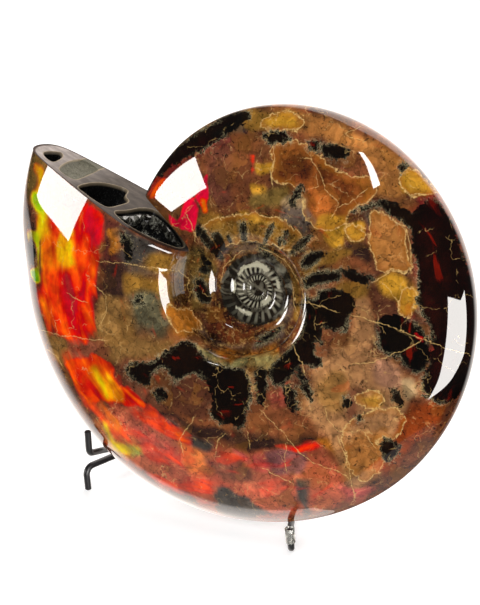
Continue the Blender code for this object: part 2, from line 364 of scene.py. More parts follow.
@dataclass(frozen=True)
class Coil:
    """Shape of the shell: a flat coil of whorls, leaning back on its stand.

    Age is the angle back from the sawn aperture. Share runs from 0 to 1 across a wall or a flank.
    """

    lean: float = 13.0
    pole: tuple = (8.6, -23.8, 102.0)
    aperture_angle: float = 156.5
    expansion: float = 1.78
    seam: float = 32.0
    seam_front: float = 11.5
    centre_front: float = 2.5
    half_thickness: float = 29.4
    venter_radii: tuple = (118.6, 112.0, 109.0, 106.6, 104.9, 102.8, 101.0, 99.9, 99.0,
                           97.4, 95.0, 91.7, 88.0, 84.4, 80.6, 76.5, 72.2, 68.1, 64.9)
    wall_power: float = 2.2
    wall_rounding: float = 0.55
    steep_power: float = 5.0
    steep_rounding: float = 0.22
    steep_ages: tuple = (2.0, 14.0, 250.0, 330.0)
    flank_taper: float = 0.55
    flank_power: float = 1.4
    venter_power: float = 24.0
    bevel: float = 9.0
    bevel_start: float = 0.78
    bevel_growth: float = 1.6
    bevel_ages: tuple = (8.0, 30.0, 150.0, 190.0)
    bevel_venter_power: float = 48.0
    notch_width: float = 8.0
    notch_power: float = 0.6
    notch_spread: float = 30.0
    skin: float = 0.12

    def venter_radius(self, age: Array) -> Array:
        """Outer radius of the last whorl: a smooth curve through a value for every twenty degrees.

        Args:
            age: angle back from the aperture.

        Returns:
            The radius.
        """
        values = np.asarray(self.venter_radii)
        slopes = np.gradient(values)
        place = np.clip(age / WHORL, 0.0, 1.0) * (len(values) - 1)
        low = np.minimum(place.astype(int), len(values) - 2)
        t = place - low
        radius = (values[low] * (1 + 2 * t) * (1 - t) ** 2 + slopes[low] * t * (1 - t) ** 2
                  + values[low + 1] * t * t * (3 - 2 * t) - slopes[low + 1] * t * t * (1 - t))
        return radius - self.skin

    def seam_radius(self, age: Array) -> Array:
        """Inner radius of a whorl, which shrinks by the expansion with each whorl back."""
        return self.seam * self.expansion ** (-age / WHORL)

    def seam_depth(self, age: Array) -> Array:
        """How far that inner edge lies in front of the mid-plane, in line with its radius."""
        return self.centre_front + (self.seam_front - self.centre_front) * self.seam_radius(age) / self.seam

    def shoulder(self, age: Array) -> tuple[Array, Array]:
        """Where a whorl is thickest or, if it is covered, goes under the next one.

        Args:
            age: angle back from the aperture.

        Returns:
            Radius and depth.
        """
        core = self.seam / self.expansion
        part = (self.seam - core) / (self.venter_radii[-1] - core)
        inner = self.seam_radius(age)
        open_radius = inner + (self.venter_radius(np.minimum(age, WHORL)) - inner) * part
        open_depth = self.half_thickness * (self.seam_front / self.half_thickness) ** (age / WHORL)
        outer = np.maximum(age - WHORL, 0.0)
        covered = age >= WHORL
        return (np.where(covered, self.seam_radius(outer), open_radius),
                np.where(covered, self.seam_depth(outer), open_depth))

    def wall(self, age: Array, share: Array) -> tuple[Array, Array]:
        """The umbilical wall: it rises as (1 - (1 - share)^power)^rounding, steepest on the first whorl.

        Args:
            age: angle back from the aperture.
            share: 0 to 1 from one edge to the other.

        Returns:
            Radius and depth.
        """
        top_radius, top_depth = self.shoulder(age)
        inner, depth = self.seam_radius(age), self.seam_depth(age)
        start, full, fade, end = self.steep_ages
        steep = smoothstep(start, full, age) * (1 - smoothstep(fade, end, age))
        power = self.wall_power + (self.steep_power - self.wall_power) * steep
        rounding = self.wall_rounding + (self.steep_rounding - self.wall_rounding) * steep
        rise = (1 - (1 - share) ** power) ** rounding
        return inner + (top_radius - inner) * share, depth + (top_depth - depth) * rise

    def flank(self, age: Array, share: Array) -> tuple[Array, Array]:
        """The flank: it tapers with a power of the share, is bevelled, and rounds off into the venter.

        Args:
            age: angle back from the aperture.
            share: 0 to 1 from one edge to the other.

        Returns:
            Radius and depth.
        """
        top_radius, top_depth = self.shoulder(age)
        edge = self.venter_radius(np.minimum(age, WHORL))
        start, full, fade, end = self.bevel_ages
        worn = smoothstep(start, full, age) * (1 - smoothstep(fade, end, age))
        past = np.clip((share - self.bevel_start) / (1 - self.bevel_start), 0.0, 1.0)
        depth = (top_depth * (1 - self.flank_taper * share ** self.flank_power)
                 - self.bevel * worn * past ** self.bevel_growth)
        power = self.venter_power + (self.bevel_venter_power - self.venter_power) * worn
        round_off = np.sqrt(np.clip(1 - share ** power, 0.0, 1.0))
        return top_radius + (edge - top_radius) * share, depth * round_off

    def notch_turn(self, age: Array, radius: Array) -> Array:
        """Angle by which the oldest open flank stands clear of the sawn face: a gap over the radius.

        Args:
            age: angle back from the aperture.
            radius: distance from the pole.

        Returns:
            The angle.
        """
        top_radius, _ = self.shoulder(age)
        reach = np.clip((radius - top_radius) / (self.venter_radii[-1] - self.seam), 0.0, None)
        turn = np.degrees(self.notch_width * reach ** self.notch_power / np.maximum(radius, self.seam))
        ramp = np.clip((age - WHORL + self.notch_spread) / self.notch_spread, 0.0, 1.0)
        return turn * ramp * (age <= WHORL)

    def world(self, age: Array, radius: Array, front: Array) -> Array:
        """World millimetres of a point of the coil: turned about the pole, then leant back."""
        angle = np.radians(self.aperture_angle + age)
        return self.leant(radius * np.cos(angle), radius * np.sin(angle), front)

    def leant(self, across: Array, up: Array, front: Array) -> Array:
        """Turn a point of the coil's own plane by the lean, about a level line through the pole.

        Args:
            across: to the right of the pole.
            up: above the pole, in the plane.
            front: in front of the plane.

        Returns:
            World points.
        """
        lean = math.radians(self.lean)
        x = across + self.pole[0]
        y = up * math.sin(lean) - front * math.cos(lean) + self.pole[1]
        z = up * math.cos(lean) + front * math.sin(lean) + self.pole[2]
        return np.stack(np.broadcast_arrays(x, y, z), axis=-1)

    def local(self, points: Array) -> Array:
        """The way back from leant().

        Args:
            points: world points.

        Returns:
            Across, up and front of each.
        """
        lean = math.radians(self.lean)
        x, y, z = (points - np.asarray(self.pole)).T
        return np.stack([x, y * math.sin(lean) + z * math.cos(lean),
                         z * math.sin(lean) - y * math.cos(lean)], axis=-1)


def grid_quads(rows: int, columns: int, first: int, flip: bool) -> Array:
    """Corner numbers of a grid's quads.

    Args:
        rows: rows of vertices.
        columns: vertices in a row.
        first: number of the first vertex.
        flip: whether the quads face the other way.

    Returns:
        Four vertex numbers for each quad.
    """
    low = first + np.arange(rows - 1)[:, None] * columns + np.arange(columns - 1)[None, :]
    quads = np.stack([low, low + 1, low + columns + 1, low + columns], axis=-1).reshape(-1, 4)
    return quads[:, ::-1] if flip else quads


def make_piece(name: str, points: Array, faces: list) -> bpy.types.Object:
    """Put points in millimetres and faces, shaded smooth, into a new object at the origin.

    Args:
        name: the object's name.
        points: world points.
        faces: corner numbers of each face.

    Returns:
        The object.
    """
    mesh = bpy.data.meshes.new(name)
    mesh.from_pydata((points * MM).tolist(), [], faces)
    mesh.polygons.foreach_set("use_smooth", np.full(len(mesh.polygons), True))
    mesh.validate()
    piece = bpy.data.objects.new(name, mesh)
    bpy.context.scene.collection.objects.link(piece)
    return piece


def weld(mesh: bpy.types.Mesh, sharp: float = 40.0) -> None:
    """Merge vertices that all but touch, turn every face outwards and mark the sharp edges.

    Args:
        mesh: a closed mesh.
        sharp: angle from which an edge is sharp.
    """
    bm = bmesh.new()
    bm.from_mesh(mesh)
    bmesh.ops.remove_doubles(bm, verts=bm.verts, dist=WELD_GAP * MM)
    bmesh.ops.recalc_face_normals(bm, faces=bm.faces)
    bm.to_mesh(mesh)
    bm.free()
    mesh.set_sharp_from_angle(angle=math.radians(sharp))


def give(mesh: bpy.types.Mesh, name: str, values: Array) -> None:
    """Store one number, or one linear colour, for each vertex.

    Args:
        mesh: where it is stored.
        name: name of the attribute.
        values: a number or a row of four for each vertex.
    """
    kind = 'FLOAT' if values.ndim == 1 else 'FLOAT_COLOR'
    layer = mesh.attributes.new(name, kind, 'POINT')
    layer.data.foreach_set("value" if values.ndim == 1 else "color", values.astype(np.float32).ravel())


@dataclass(frozen=True)
class Chamber:
    """One hollow in the sawn face: a loop through (radius, front), its depth and how steeply it falls."""

    outline: tuple
    depth: float
    slope: float = 5.0


SMALL_CHAMBER = Chamber(((112.4, 7.5), (112.6, 1.0), (110.6, -5.4), (107.6, -2.0), (105.6, 6.0),
                         (105.4, 11.2), (108.8, 11.4)), 12.0)
FILLED_CHAMBER = Chamber(((101.6, 9.5), (103.6, -1.0), (103.8, -11.6), (100.0, -14.6), (94.4, -13.0),
                          (92.8, -3.0), (91.4, 7.6), (91.2, 14.6), (95.0, 16.4), (99.0, 15.0)), 2.0, 1.2)
LARGE_CHAMBER = Chamber(((85.8, 20.4), (87.0, 11.0), (86.0, 0.0), (82.4, -8.4), (77.6, -12.0), (74.4, -4.4),
                         (70.4, 0.0), (69.4, 10.0), (69.8, 21.0), (75.0, 22.8), (81.0, 22.2)), 15.5)
LAST_CHAMBER = Chamber(((66.0, 20.4), (65.0, 10.0), (64.4, -2.0), (61.0, -10.0), (52.0, -8.0), (42.0, 0.0),
                        (36.4, 7.0), (35.6, 14.6), (41.0, 20.4), (48.0, 24.2), (56.0, 25.8),
                        (62.0, 24.4)), 11.9)
CHAMBERS = (SMALL_CHAMBER, FILLED_CHAMBER, LARGE_CHAMBER, LAST_CHAMBER)
# Behind the filled chamber its filling lies flush with the face, as far as the back edge
FILLED_BAND = ((101.6, 9.5), (103.6, -1.0), (103.8, -11.6), (102.6, -24.0), (96.0, -26.0), (94.4, -13.0),
               (92.8, -3.0), (91.4, 7.6), (91.2, 14.6), (95.0, 16.4), (99.0, 15.0))


@dataclass(frozen=True)
class Markings:
    """Every marking of the front, as outlines in picture pixels, in the order in which they are laid on."""

    patches: tuple = ()
    flames: tuple = ()
    dark: tuple = ()
    pale: tuple = ()
    cells: tuple = ()
    crust: tuple = ()
    veins_a: tuple = ()
    veins_b: tuple = ()


PATCHES = (
    # left flank beside the sawn aperture
    Patch(Tint.OLIVE, (33, 150, 40, 160, 47, 170, 43, 190, 36, 205, 28, 200, 26, 180), 3),
    Patch(Tint.BARK, (21, 205, 28, 205, 34, 225, 31, 245, 26, 262, 20, 245), 4),
    Patch(Tint.MAROON, (102, 212, 120, 222, 130, 240, 124, 268, 112, 290, 100, 300, 90, 300, 96, 270,
        104, 240), 5),
    Patch(Tint.AMBER, (110, 229, 118, 231, 120, 248, 114, 252, 111, 242), 2),
    Patch(Tint.ASH, (118, 226, 136, 234, 156, 246, 162, 262, 152, 274, 134, 280, 122, 268, 119, 246), 4),
    Patch(Tint.BARK, (106, 268, 126, 268, 130, 290, 122, 300, 106, 300), 5),
    Patch(Tint.OCHRE, (148, 254, 168, 254, 188, 256, 190, 268, 172, 274, 150, 270), 3),
    Patch(Tint.OCHRE, (128, 274, 150, 276, 172, 278, 176, 296, 160, 304, 138, 300, 126, 292), 4),
    Patch(Tint.LACE, (186, 252, 191, 252, 189, 264, 184, 276, 181, 272), 1.5, 0.6),
    Patch(Tint.MOSS, (130, 292, 150, 294, 166, 306, 168, 330, 158, 338, 142, 332, 132, 316), 5),
    Patch(Tint.BEIGE, (102, 300, 126, 300, 136, 318, 142, 336, 162, 340, 172, 338, 160, 356, 136, 360,
        112, 358, 98, 350, 94, 330), 5),
    Patch(Tint.AMBER, (166, 302, 178, 308, 190, 308, 200, 326, 192, 332, 176, 330, 166, 318), 3),
    Patch(Tint.BEIGE, (42, 326, 58, 334, 70, 342, 72, 362, 60, 360, 46, 345), 4),
    Patch(Tint.CLAY, (68, 338, 90, 338, 104, 340, 110, 356, 90, 358, 72, 360), 4),
    # lower band, under the line where the venter turns away
    Patch(Tint.TERRACOTTA, (118, 406, 150, 410, 176, 424, 196, 440, 232, 450, 280, 452, 326, 454, 346, 478,
        344, 500, 300, 516, 250, 518, 200, 508, 160, 486, 124, 458, 100, 428), 6),
    Patch(Tint.TANGERINE, (96, 405, 112, 412, 126, 432, 140, 446, 130, 460, 112, 448, 96, 426), 4),
    Patch(Tint.TANGERINE, (180, 434, 200, 446, 212, 462, 206, 478, 190, 472, 180, 454), 5),
    Patch(Tint.LIME, (103, 423, 108, 424, 114, 438, 124, 444, 137, 444, 141, 454, 132, 459, 118, 452,
        108, 440), 2.5, 0.8),
    Patch(Tint.RUST, (128, 416, 150, 426, 172, 440, 180, 460, 160, 458, 140, 440), 5, 0.7),
    Patch(Tint.MAUVE, (264, 454, 300, 451, 306, 464, 296, 474, 272, 472), 4),
    Patch(Tint.CLAY, (206, 456, 244, 462, 252, 480, 222, 480), 5),
    Patch(Tint.PINK, (236, 449, 258, 456, 270, 468, 262, 474, 246, 462), 3, 0.7),
    Patch(Tint.PINK, (340, 482, 372, 488, 366, 498, 346, 500), 4, 0.6),
    Patch(Tint.ASH, (156, 415, 166, 420, 180, 428, 198, 436, 214, 444, 206, 450, 186, 442, 170, 434,
        160, 424), 3),
    Patch(Tint.BARK, (140, 400, 160, 410, 190, 422, 222, 428, 240, 432, 262, 436, 320, 432, 322, 444,
        280, 448, 240, 446, 206, 440, 176, 424, 152, 412), 4),
    Patch(Tint.RUBY, (276, 446, 296, 443, 322, 444, 320, 451, 292, 452), 2, 0.8),
    Patch(Tint.AMBER, (320, 436, 344, 434, 352, 448, 340, 456, 324, 450), 3),
    Patch(Tint.ASH, (214, 494, 226, 488, 240, 495, 250, 497, 258, 506, 268, 515, 240, 520, 220, 512), 2.5),
    Patch(Tint.ASH, (296, 480, 306, 481, 309, 492, 310, 514, 302, 512, 297, 498), 2.5),
    Patch(Tint.SMOKE, (158, 488, 180, 491, 198, 502, 190, 510, 168, 498), 3),
    # middle, below the umbilicus
    Patch(Tint.UMBER, (146, 366, 164, 362, 178, 372, 206, 372, 216, 388, 212, 406, 200, 418, 176, 412,
        156, 404, 146, 388), 4),
    Patch(Tint.CHESTNUT, (236, 404, 262, 402, 290, 410, 322, 400, 336, 420, 326, 436, 280, 436,
        246, 430), 5),
    Patch(Tint.CELADON, (198, 346, 214, 352, 232, 358, 252, 356, 270, 350, 276, 358, 270, 370, 252, 368,
        234, 368, 212, 362, 204, 356), 3, 0.85),
    Patch(Tint.AMBER, (212, 342, 226, 346, 238, 352, 232, 361, 220, 356), 2.5),
    Patch(Tint.AMBER, (248, 350, 262, 346, 274, 340, 276, 350, 262, 356, 250, 357), 2.5),
    Patch(Tint.RUST, (272, 392, 282, 392, 288, 400, 280, 408, 272, 404), 3),
    # right side
    Patch(Tint.TAN, (314, 366, 330, 352, 352, 346, 362, 352, 376, 360, 396, 362, 408, 376, 416, 386,
        414, 400, 404, 412, 406, 428, 392, 440, 384, 452, 380, 470, 364, 482, 350, 480, 338, 460, 330, 440,
        312, 420, 302, 408, 312, 390), 5),
    Patch(Tint.TAN, (356, 298, 366, 298, 374, 330, 368, 352, 352, 358, 350, 340, 356, 322), 4),
    Patch(Tint.ROSE, (374, 362, 396, 362, 404, 374, 402, 386, 384, 388, 372, 376), 4, 0.8),
    Patch(Tint.SAND, (404, 380, 414, 380, 416, 396, 410, 402, 402, 394), 3),
    Patch(Tint.OCHRE, (318, 382, 340, 372, 350, 380, 344, 410, 326, 412), 6, 0.6),
    Patch(Tint.AMBER, (344, 444, 364, 432, 386, 436, 382, 462, 370, 476, 352, 468), 6, 0.6),
    Patch(Tint.HONEY, (360, 396, 376, 392, 384, 402, 376, 408, 364, 404), 4, 0.8),
    Patch(Tint.BROWNRED, (346, 408, 352, 390, 362, 392, 358, 408, 362, 424, 350, 424), 4, 0.7),
    Patch(Tint.BARK, (376, 320, 392, 312, 410, 318, 426, 330, 432, 350, 424, 372, 410, 372, 398, 360,
        378, 352, 374, 336), 4),
    Patch(Tint.UMBER, (372, 300, 388, 296, 396, 306, 392, 320, 376, 316), 4),
    Patch(Tint.OXBLOOD, (414, 200, 436, 196, 452, 220, 466, 260, 474, 300, 474, 340, 466, 380, 446, 400,
        426, 396, 430, 370, 436, 340, 428, 310, 416, 280, 412, 240), 5),
    Patch(Tint.GARNET, (422, 222, 440, 226, 446, 250, 450, 280, 436, 290, 424, 270, 420, 244), 7),
    Patch(Tint.GARNET, (424, 292, 436, 300, 440, 330, 434, 340, 428, 320), 5),
    Patch(Tint.GARNET, (432, 352, 446, 350, 450, 376, 440, 390, 432, 374), 6),
    Patch(Tint.EMBER, (402, 416, 424, 404, 444, 402, 436, 424, 422, 440, 406, 452, 392, 470, 382, 466,
        392, 444), 4),
    Patch(Tint.MAROON, (440, 376, 462, 366, 468, 376, 456, 396, 444, 400), 5),
    # upper whorl
    Patch(Tint.OXBLOOD, (146, 190, 156, 172, 176, 156, 196, 140, 220, 126, 244, 116, 250, 128, 226, 142,
        204, 154, 184, 170, 160, 186), 5),
    Patch(Tint.SLATE, (214, 132, 240, 116, 254, 112, 250, 128, 232, 140, 218, 142), 4),
    Patch(Tint.BROWNRED, (218, 136, 240, 134, 246, 142, 232, 150, 216, 148), 4),
    Patch(Tint.PLUM, (212, 150, 236, 146, 248, 150, 248, 176, 244, 200, 224, 206, 208, 200, 208, 172), 5),
    Patch(Tint.CHESTNUT, (236, 142, 254, 140, 258, 160, 246, 180, 248, 200, 234, 206, 230, 180), 5),
    Patch(Tint.OCHRE, (246, 112, 270, 110, 300, 112, 306, 128, 270, 130, 246, 126), 4),
    Patch(Tint.HONEY, (262, 117, 284, 114, 302, 118, 302, 128, 276, 128), 3),
    Patch(Tint.CARAMEL, (298, 112, 330, 120, 370, 138, 404, 162, 414, 172, 400, 176, 376, 168, 350, 148,
        320, 138, 304, 130), 5),
    Patch(Tint.RUSSET, (274, 150, 296, 146, 318, 158, 342, 176, 366, 180, 372, 194, 352, 212, 330, 222,
        314, 216, 304, 190, 276, 180), 4),
    Patch(Tint.BURNT, (276, 158, 300, 156, 310, 172, 300, 182, 278, 178), 6),
    Patch(Tint.BURNT, (322, 166, 342, 178, 356, 182, 350, 196, 330, 194), 7, 0.8),
    Patch(Tint.TANGERINE, (306, 188, 322, 196, 332, 212, 322, 220, 310, 210), 6, 0.55),
    Patch(Tint.HONEY, (320, 216, 340, 212, 348, 216, 344, 228, 326, 230, 312, 226), 3, 0.85),
    Patch(Tint.HONEY, (256, 164, 268, 163, 270, 172, 258, 173), 2.5),
    Patch(Tint.HONEY, (251, 186, 261, 182, 265, 192, 254, 196), 2.5, 0.85),
    Patch(Tint.OLIVE, (252, 196, 276, 186, 290, 186, 286, 206, 268, 208, 254, 206), 4),
    Patch(Tint.HEATHER, (286, 208, 304, 206, 312, 224, 304, 236, 292, 228, 280, 218), 3),
    Patch(Tint.SAND, (290, 196, 302, 198, 304, 208, 294, 208, 286, 210, 280, 204), 3, 0.7),
    Patch(Tint.HONEY, (328, 228, 342, 228, 344, 240, 336, 247, 326, 242), 2.5),
    Patch(Tint.HONEY, (348, 226, 358, 224, 366, 232, 362, 238, 352, 241, 346, 234), 2.5),
    Patch(Tint.BARK, (344, 244, 362, 240, 372, 250, 370, 266, 352, 262, 344, 254), 4),
    Patch(Tint.SMOKE, (362, 214, 372, 212, 374, 232, 366, 228), 3),
    Patch(Tint.CARAMEL, (372, 210, 386, 216, 400, 228, 406, 246, 410, 264, 400, 272, 384, 268, 374, 256,
        370, 232), 3),
    Patch(Tint.HONEY, (400, 172, 414, 170, 430, 184, 434, 194, 420, 196, 404, 190), 3),
    Patch(Tint.CARAMEL, (384, 176, 398, 174, 402, 190, 396, 196, 384, 194, 378, 186), 4),
    Patch(Tint.HONEY, (376, 280, 392, 272, 404, 278, 410, 290, 398, 296, 384, 294), 4),
    Patch(Tint.HONEY, (399, 294, 409, 288, 416, 294, 415, 306, 406, 316, 400, 310), 2.5),
    Patch(Tint.UMBER, (386, 196, 404, 194, 416, 200, 408, 208, 390, 204), 3),
    Patch(Tint.CHESTNUT, (318, 256, 346, 256, 366, 264, 376, 272, 354, 268, 330, 270), 3),
    Patch(Tint.OCHRE, (300, 270, 318, 256, 336, 248, 348, 252, 330, 266, 312, 272), 3),
    Patch(Tint.OCHRE, (336, 284, 360, 282, 372, 288, 366, 298, 344, 294), 3),
    # around and inside the umbilicus
    Patch(Tint.OCHRE, (204, 212, 222, 214, 226, 226, 214, 236, 200, 228, 196, 218), 3),
    Patch(Tint.OCHRE, (206, 226, 232, 216, 262, 214, 288, 224, 304, 240, 292, 250, 272, 246, 248, 240,
        226, 246, 212, 252), 3),
    Patch(Tint.HONEY, (240, 215, 262, 216, 284, 224, 280, 230, 260, 224, 240, 224), 2, 0.7),
    Patch(Tint.BARK, (196, 224, 204, 226, 224, 256, 220, 262, 208, 246), 2),
    Patch(Tint.OLIVE, (190, 246, 204, 246, 216, 262, 214, 282, 206, 310, 194, 304, 190, 276), 4),
    # painted reflection: a grey-violet sheen on the polish beside the umbilical seam, laid on as a patch
    Patch(Tint.HEATHER, (226, 250, 240, 240, 260, 240, 268, 250, 250, 252, 234, 258), 3),
    Patch(Tint.BURNT, (204, 300, 224, 304, 240, 324, 262, 326, 276, 330, 258, 346, 232, 344, 210, 330), 4),
    Patch(Tint.OCHRE, (262, 248, 280, 258, 294, 274, 302, 296, 300, 318, 294, 318, 296, 298, 286, 274,
        270, 258), 2.5),
    Patch(Tint.HEATHER, (286, 300, 294, 302, 290, 322, 278, 340, 256, 350, 250, 346, 272, 334, 282, 318), 3,
        0.8),
    Patch(Tint.SMOKE, (204, 330, 222, 340, 248, 348, 246, 352, 220, 346, 202, 338), 2.5, 0.8),
)

FLAMES = (
    Flame(0.28, (42, 176, 52, 180, 68, 192, 84, 202, 96, 209, 102, 220, 103, 238, 98, 256, 97, 276, 92, 290,
        94, 318, 88, 340, 70, 338, 54, 332, 46, 318, 41, 300, 39, 286, 42, 274, 40, 258, 40, 240, 44, 226,
        40, 206, 40, 190), 8),
    Flame(0.42, (44, 226, 52, 232, 58, 262, 52, 290, 44, 282, 41, 255), 6),
    Flame(0.70, (36, 164, 44, 174, 49, 190, 48, 206, 48, 222, 45, 238, 38, 242, 30, 240, 36, 226, 38, 212,
        33, 204, 35, 192, 38, 182), 5),
    Flame(0.95, (33, 192, 38, 194, 41, 203, 40, 212, 34, 207), 4),
    Flame(0.62, (39, 166, 45, 172, 47, 190, 42, 196, 38, 180), 3),
    Flame(0.95, (29, 230, 36, 232, 41, 244, 41, 258, 40, 270, 36, 268, 36, 250, 30, 240), 4),
    Flame(1.0, (31, 269, 39, 268, 40, 278, 35, 283, 32, 278), 2),
    Flame(0.62, (52, 206, 60, 206, 69, 216, 73, 232, 68, 236, 60, 226, 54, 216), 3),
    Flame(0.58, (56, 244, 64, 232, 72, 246, 74, 264, 66, 269, 58, 262), 3),
    Flame(0.50, (58, 266, 70, 270, 76, 286, 72, 292, 62, 282), 4),
    Flame(0.22, (82, 206, 100, 213, 104, 228, 98, 244, 90, 238, 84, 228), 5),
    Flame(0.34, (92, 246, 98, 249, 98, 262, 95, 277, 90, 272, 92, 258), 2.5),
    Flame(0.26, (48, 274, 62, 270, 84, 280, 88, 302, 84, 334, 62, 334, 52, 308), 6),
    Flame(0.42, (40, 298, 47, 304, 56, 322, 56, 330, 46, 318), 4),
    Flame(0.30, (66, 361, 82, 358, 92, 354, 110, 361, 114, 376, 118, 386, 130, 388, 142, 399, 146, 407,
        130, 408, 116, 402, 104, 403, 90, 402, 78, 388, 68, 372), 3),
    Flame(0.32, (60, 352, 84, 354, 104, 358, 122, 378, 140, 396, 160, 414, 186, 436, 204, 462, 214, 500,
        180, 492, 150, 474, 122, 452, 98, 424, 78, 396), 9, 0.45),
    Flame(0.22, (190, 450, 230, 452, 280, 454, 326, 456, 340, 480, 320, 502, 270, 512, 220, 508,
        196, 480), 9, 0.2),
    Flame(0.36, (84, 356, 96, 356, 112, 362, 114, 372, 98, 368, 86, 366), 4),
    Flame(0.80, (89, 370, 97, 369, 106, 382, 113, 397, 106, 399, 98, 386), 5, 0.7),
    Flame(0.54, (106, 374, 114, 380, 122, 396, 120, 402, 112, 396), 3),
    Flame(0.54, (98, 402, 112, 408, 122, 424, 118, 430, 106, 418), 4, 0.6),
    Flame(0.86, (103, 424, 108, 424, 114, 438, 124, 444, 137, 446, 140, 453, 130, 457, 116, 450), 2.5, 0.7),
    Flame(0.05, (168, 214, 178, 218, 184, 203, 192, 198, 196, 206, 195, 228, 188, 232, 178, 226,
        172, 222), 2.5),
    Flame(0.07, (196, 196, 203, 178, 208, 178, 208, 204, 203, 210, 198, 204), 2.5),
    Flame(0.40, (200, 200, 206, 202, 208, 212, 202, 211), 3),
    Flame(0.38, (148, 190, 156, 178, 164, 178, 162, 190, 154, 198), 3, 0.6),
    Flame(0.26, (250, 156, 254, 156, 254, 170, 250, 174), 3, 0.5),
    Flame(0.22, (274, 447, 296, 444, 320, 446, 314, 451, 290, 452), 3, 0.5),
    Flame(0.34, (176, 434, 190, 440, 196, 452, 186, 450), 4, 0.7),
    Flame(0.24, (414, 332, 420, 334, 424, 342, 418, 340), 2, 0.7),
)

DARK = (
    (126, 369, 134, 362, 148, 362, 158, 356, 168, 350, 176, 343, 190, 341, 200, 350, 206, 358, 216, 363,
        232, 367, 246, 371, 252, 384, 252, 398, 248, 410, 246, 422, 238, 430, 230, 424, 222, 424, 212, 418,
        210, 406, 212, 394, 206, 382, 196, 374, 184, 378, 174, 384, 170, 376, 162, 368, 154, 374, 148, 386,
        140, 384, 130, 378),
    (154, 390, 163, 388, 168, 395, 162, 402, 155, 399),
    (254, 372, 259, 368, 266, 370, 268, 380, 267, 394, 264, 404, 258, 402, 255, 390),
    (269, 370, 280, 357, 292, 345, 302, 330, 304, 314, 302, 302, 312, 292, 334, 288, 352, 296, 356, 306,
        351, 316, 346, 330, 334, 332, 322, 336, 324, 350, 322, 366, 312, 368, 300, 366, 292, 376, 280, 386,
        270, 382),
    (283, 388, 292, 384, 296, 396, 298, 408, 292, 412, 287, 402),
    (296, 366, 304, 372, 309, 384, 314, 397, 309, 402, 302, 390, 298, 378),
    (300, 264, 304, 256, 314, 251, 326, 252, 322, 259, 312, 267, 303, 268),
    (303, 280, 312, 273, 328, 271, 343, 274, 336, 282, 318, 285, 306, 289),
    (340, 270, 352, 269, 364, 273, 374, 279, 366, 283, 350, 280),
    (262, 136, 272, 130, 284, 132, 291, 139, 284, 144, 270, 144),
    (320, 147, 326, 144, 342, 145, 350, 152, 345, 159, 334, 160, 324, 155),
    (308, 142, 318, 142, 320, 152, 312, 152),
    (398, 167, 404, 162, 409, 166, 406, 171, 400, 174),
    (296, 188, 302, 184, 305, 190, 300, 196, 295, 202, 296, 207, 288, 206, 287, 201, 292, 196),
    (352, 212, 362, 206, 374, 203, 382, 200, 392, 202, 404, 207, 412, 212, 424, 202, 434, 197, 444, 208,
        456, 232, 468, 266, 478, 300, 480, 340, 474, 372, 462, 392, 444, 404, 430, 400, 420, 386, 424, 372,
        432, 352, 430, 330, 418, 306, 418, 288, 416, 266, 412, 248, 411, 234, 404, 224, 390, 216, 378, 207,
        366, 210),
    (378, 322, 392, 314, 410, 320, 424, 332, 430, 352, 422, 372, 410, 370, 398, 358, 380, 350),
    (390, 388, 398, 390, 404, 400, 402, 406, 394, 402),
    (342, 398, 350, 396, 353, 404, 347, 409, 342, 405),
    (356, 414, 362, 413, 363, 419, 358, 421),
    (380, 442, 388, 438, 400, 446, 396, 458, 384, 460),
    (146, 193, 150, 180, 160, 165, 172, 151, 190, 136, 210, 124, 228, 114, 244, 110, 252, 114, 246, 122,
        232, 132, 220, 140, 208, 148, 190, 158, 176, 164, 166, 172, 158, 180, 152, 190),
    (27, 246, 31, 244, 35, 250, 34, 262, 29, 266, 26, 256),
    (122, 232, 130, 238, 134, 252, 130, 262, 124, 258),
    (134, 298, 142, 296, 144, 304, 137, 306),
    (196, 226, 203, 228, 214, 243, 224, 258, 217, 258, 206, 247, 198, 237),
    (212, 234, 219, 231, 223, 238, 226, 249, 221, 251, 215, 243),
    (226, 236, 229, 234, 232, 242, 229, 244),
    (240, 223, 246, 223, 247, 239, 243, 242, 240, 232),
    (263, 243, 265, 234, 269, 226, 274, 223, 274, 229, 269, 238, 266, 245),
    (277, 245, 279, 237, 282, 238, 280, 247),
    (282, 242, 284, 231, 290, 229, 288, 238, 285, 246),
    (289, 253, 296, 243, 304, 237, 313, 231, 312, 238, 303, 247, 293, 254),
    (201, 254, 206, 257, 212, 263, 208, 267, 202, 262),
    (199, 268, 205, 266, 210, 270, 206, 274, 200, 273),
    (258, 246, 266, 250, 276, 258, 272, 260, 262, 254),
    (268, 332, 282, 326, 276, 336, 262, 344, 256, 342),
    (194, 278, 206, 282, 212, 300, 204, 304, 196, 296),
)

PALE = (
    (307, 289, 316, 287, 317, 297, 309, 298),
    (316, 342, 326, 350, 323, 359, 316, 352),
    (348, 320, 353, 324, 355, 331, 350, 328),
    (322, 330, 328, 328, 328, 340, 323, 338),
)

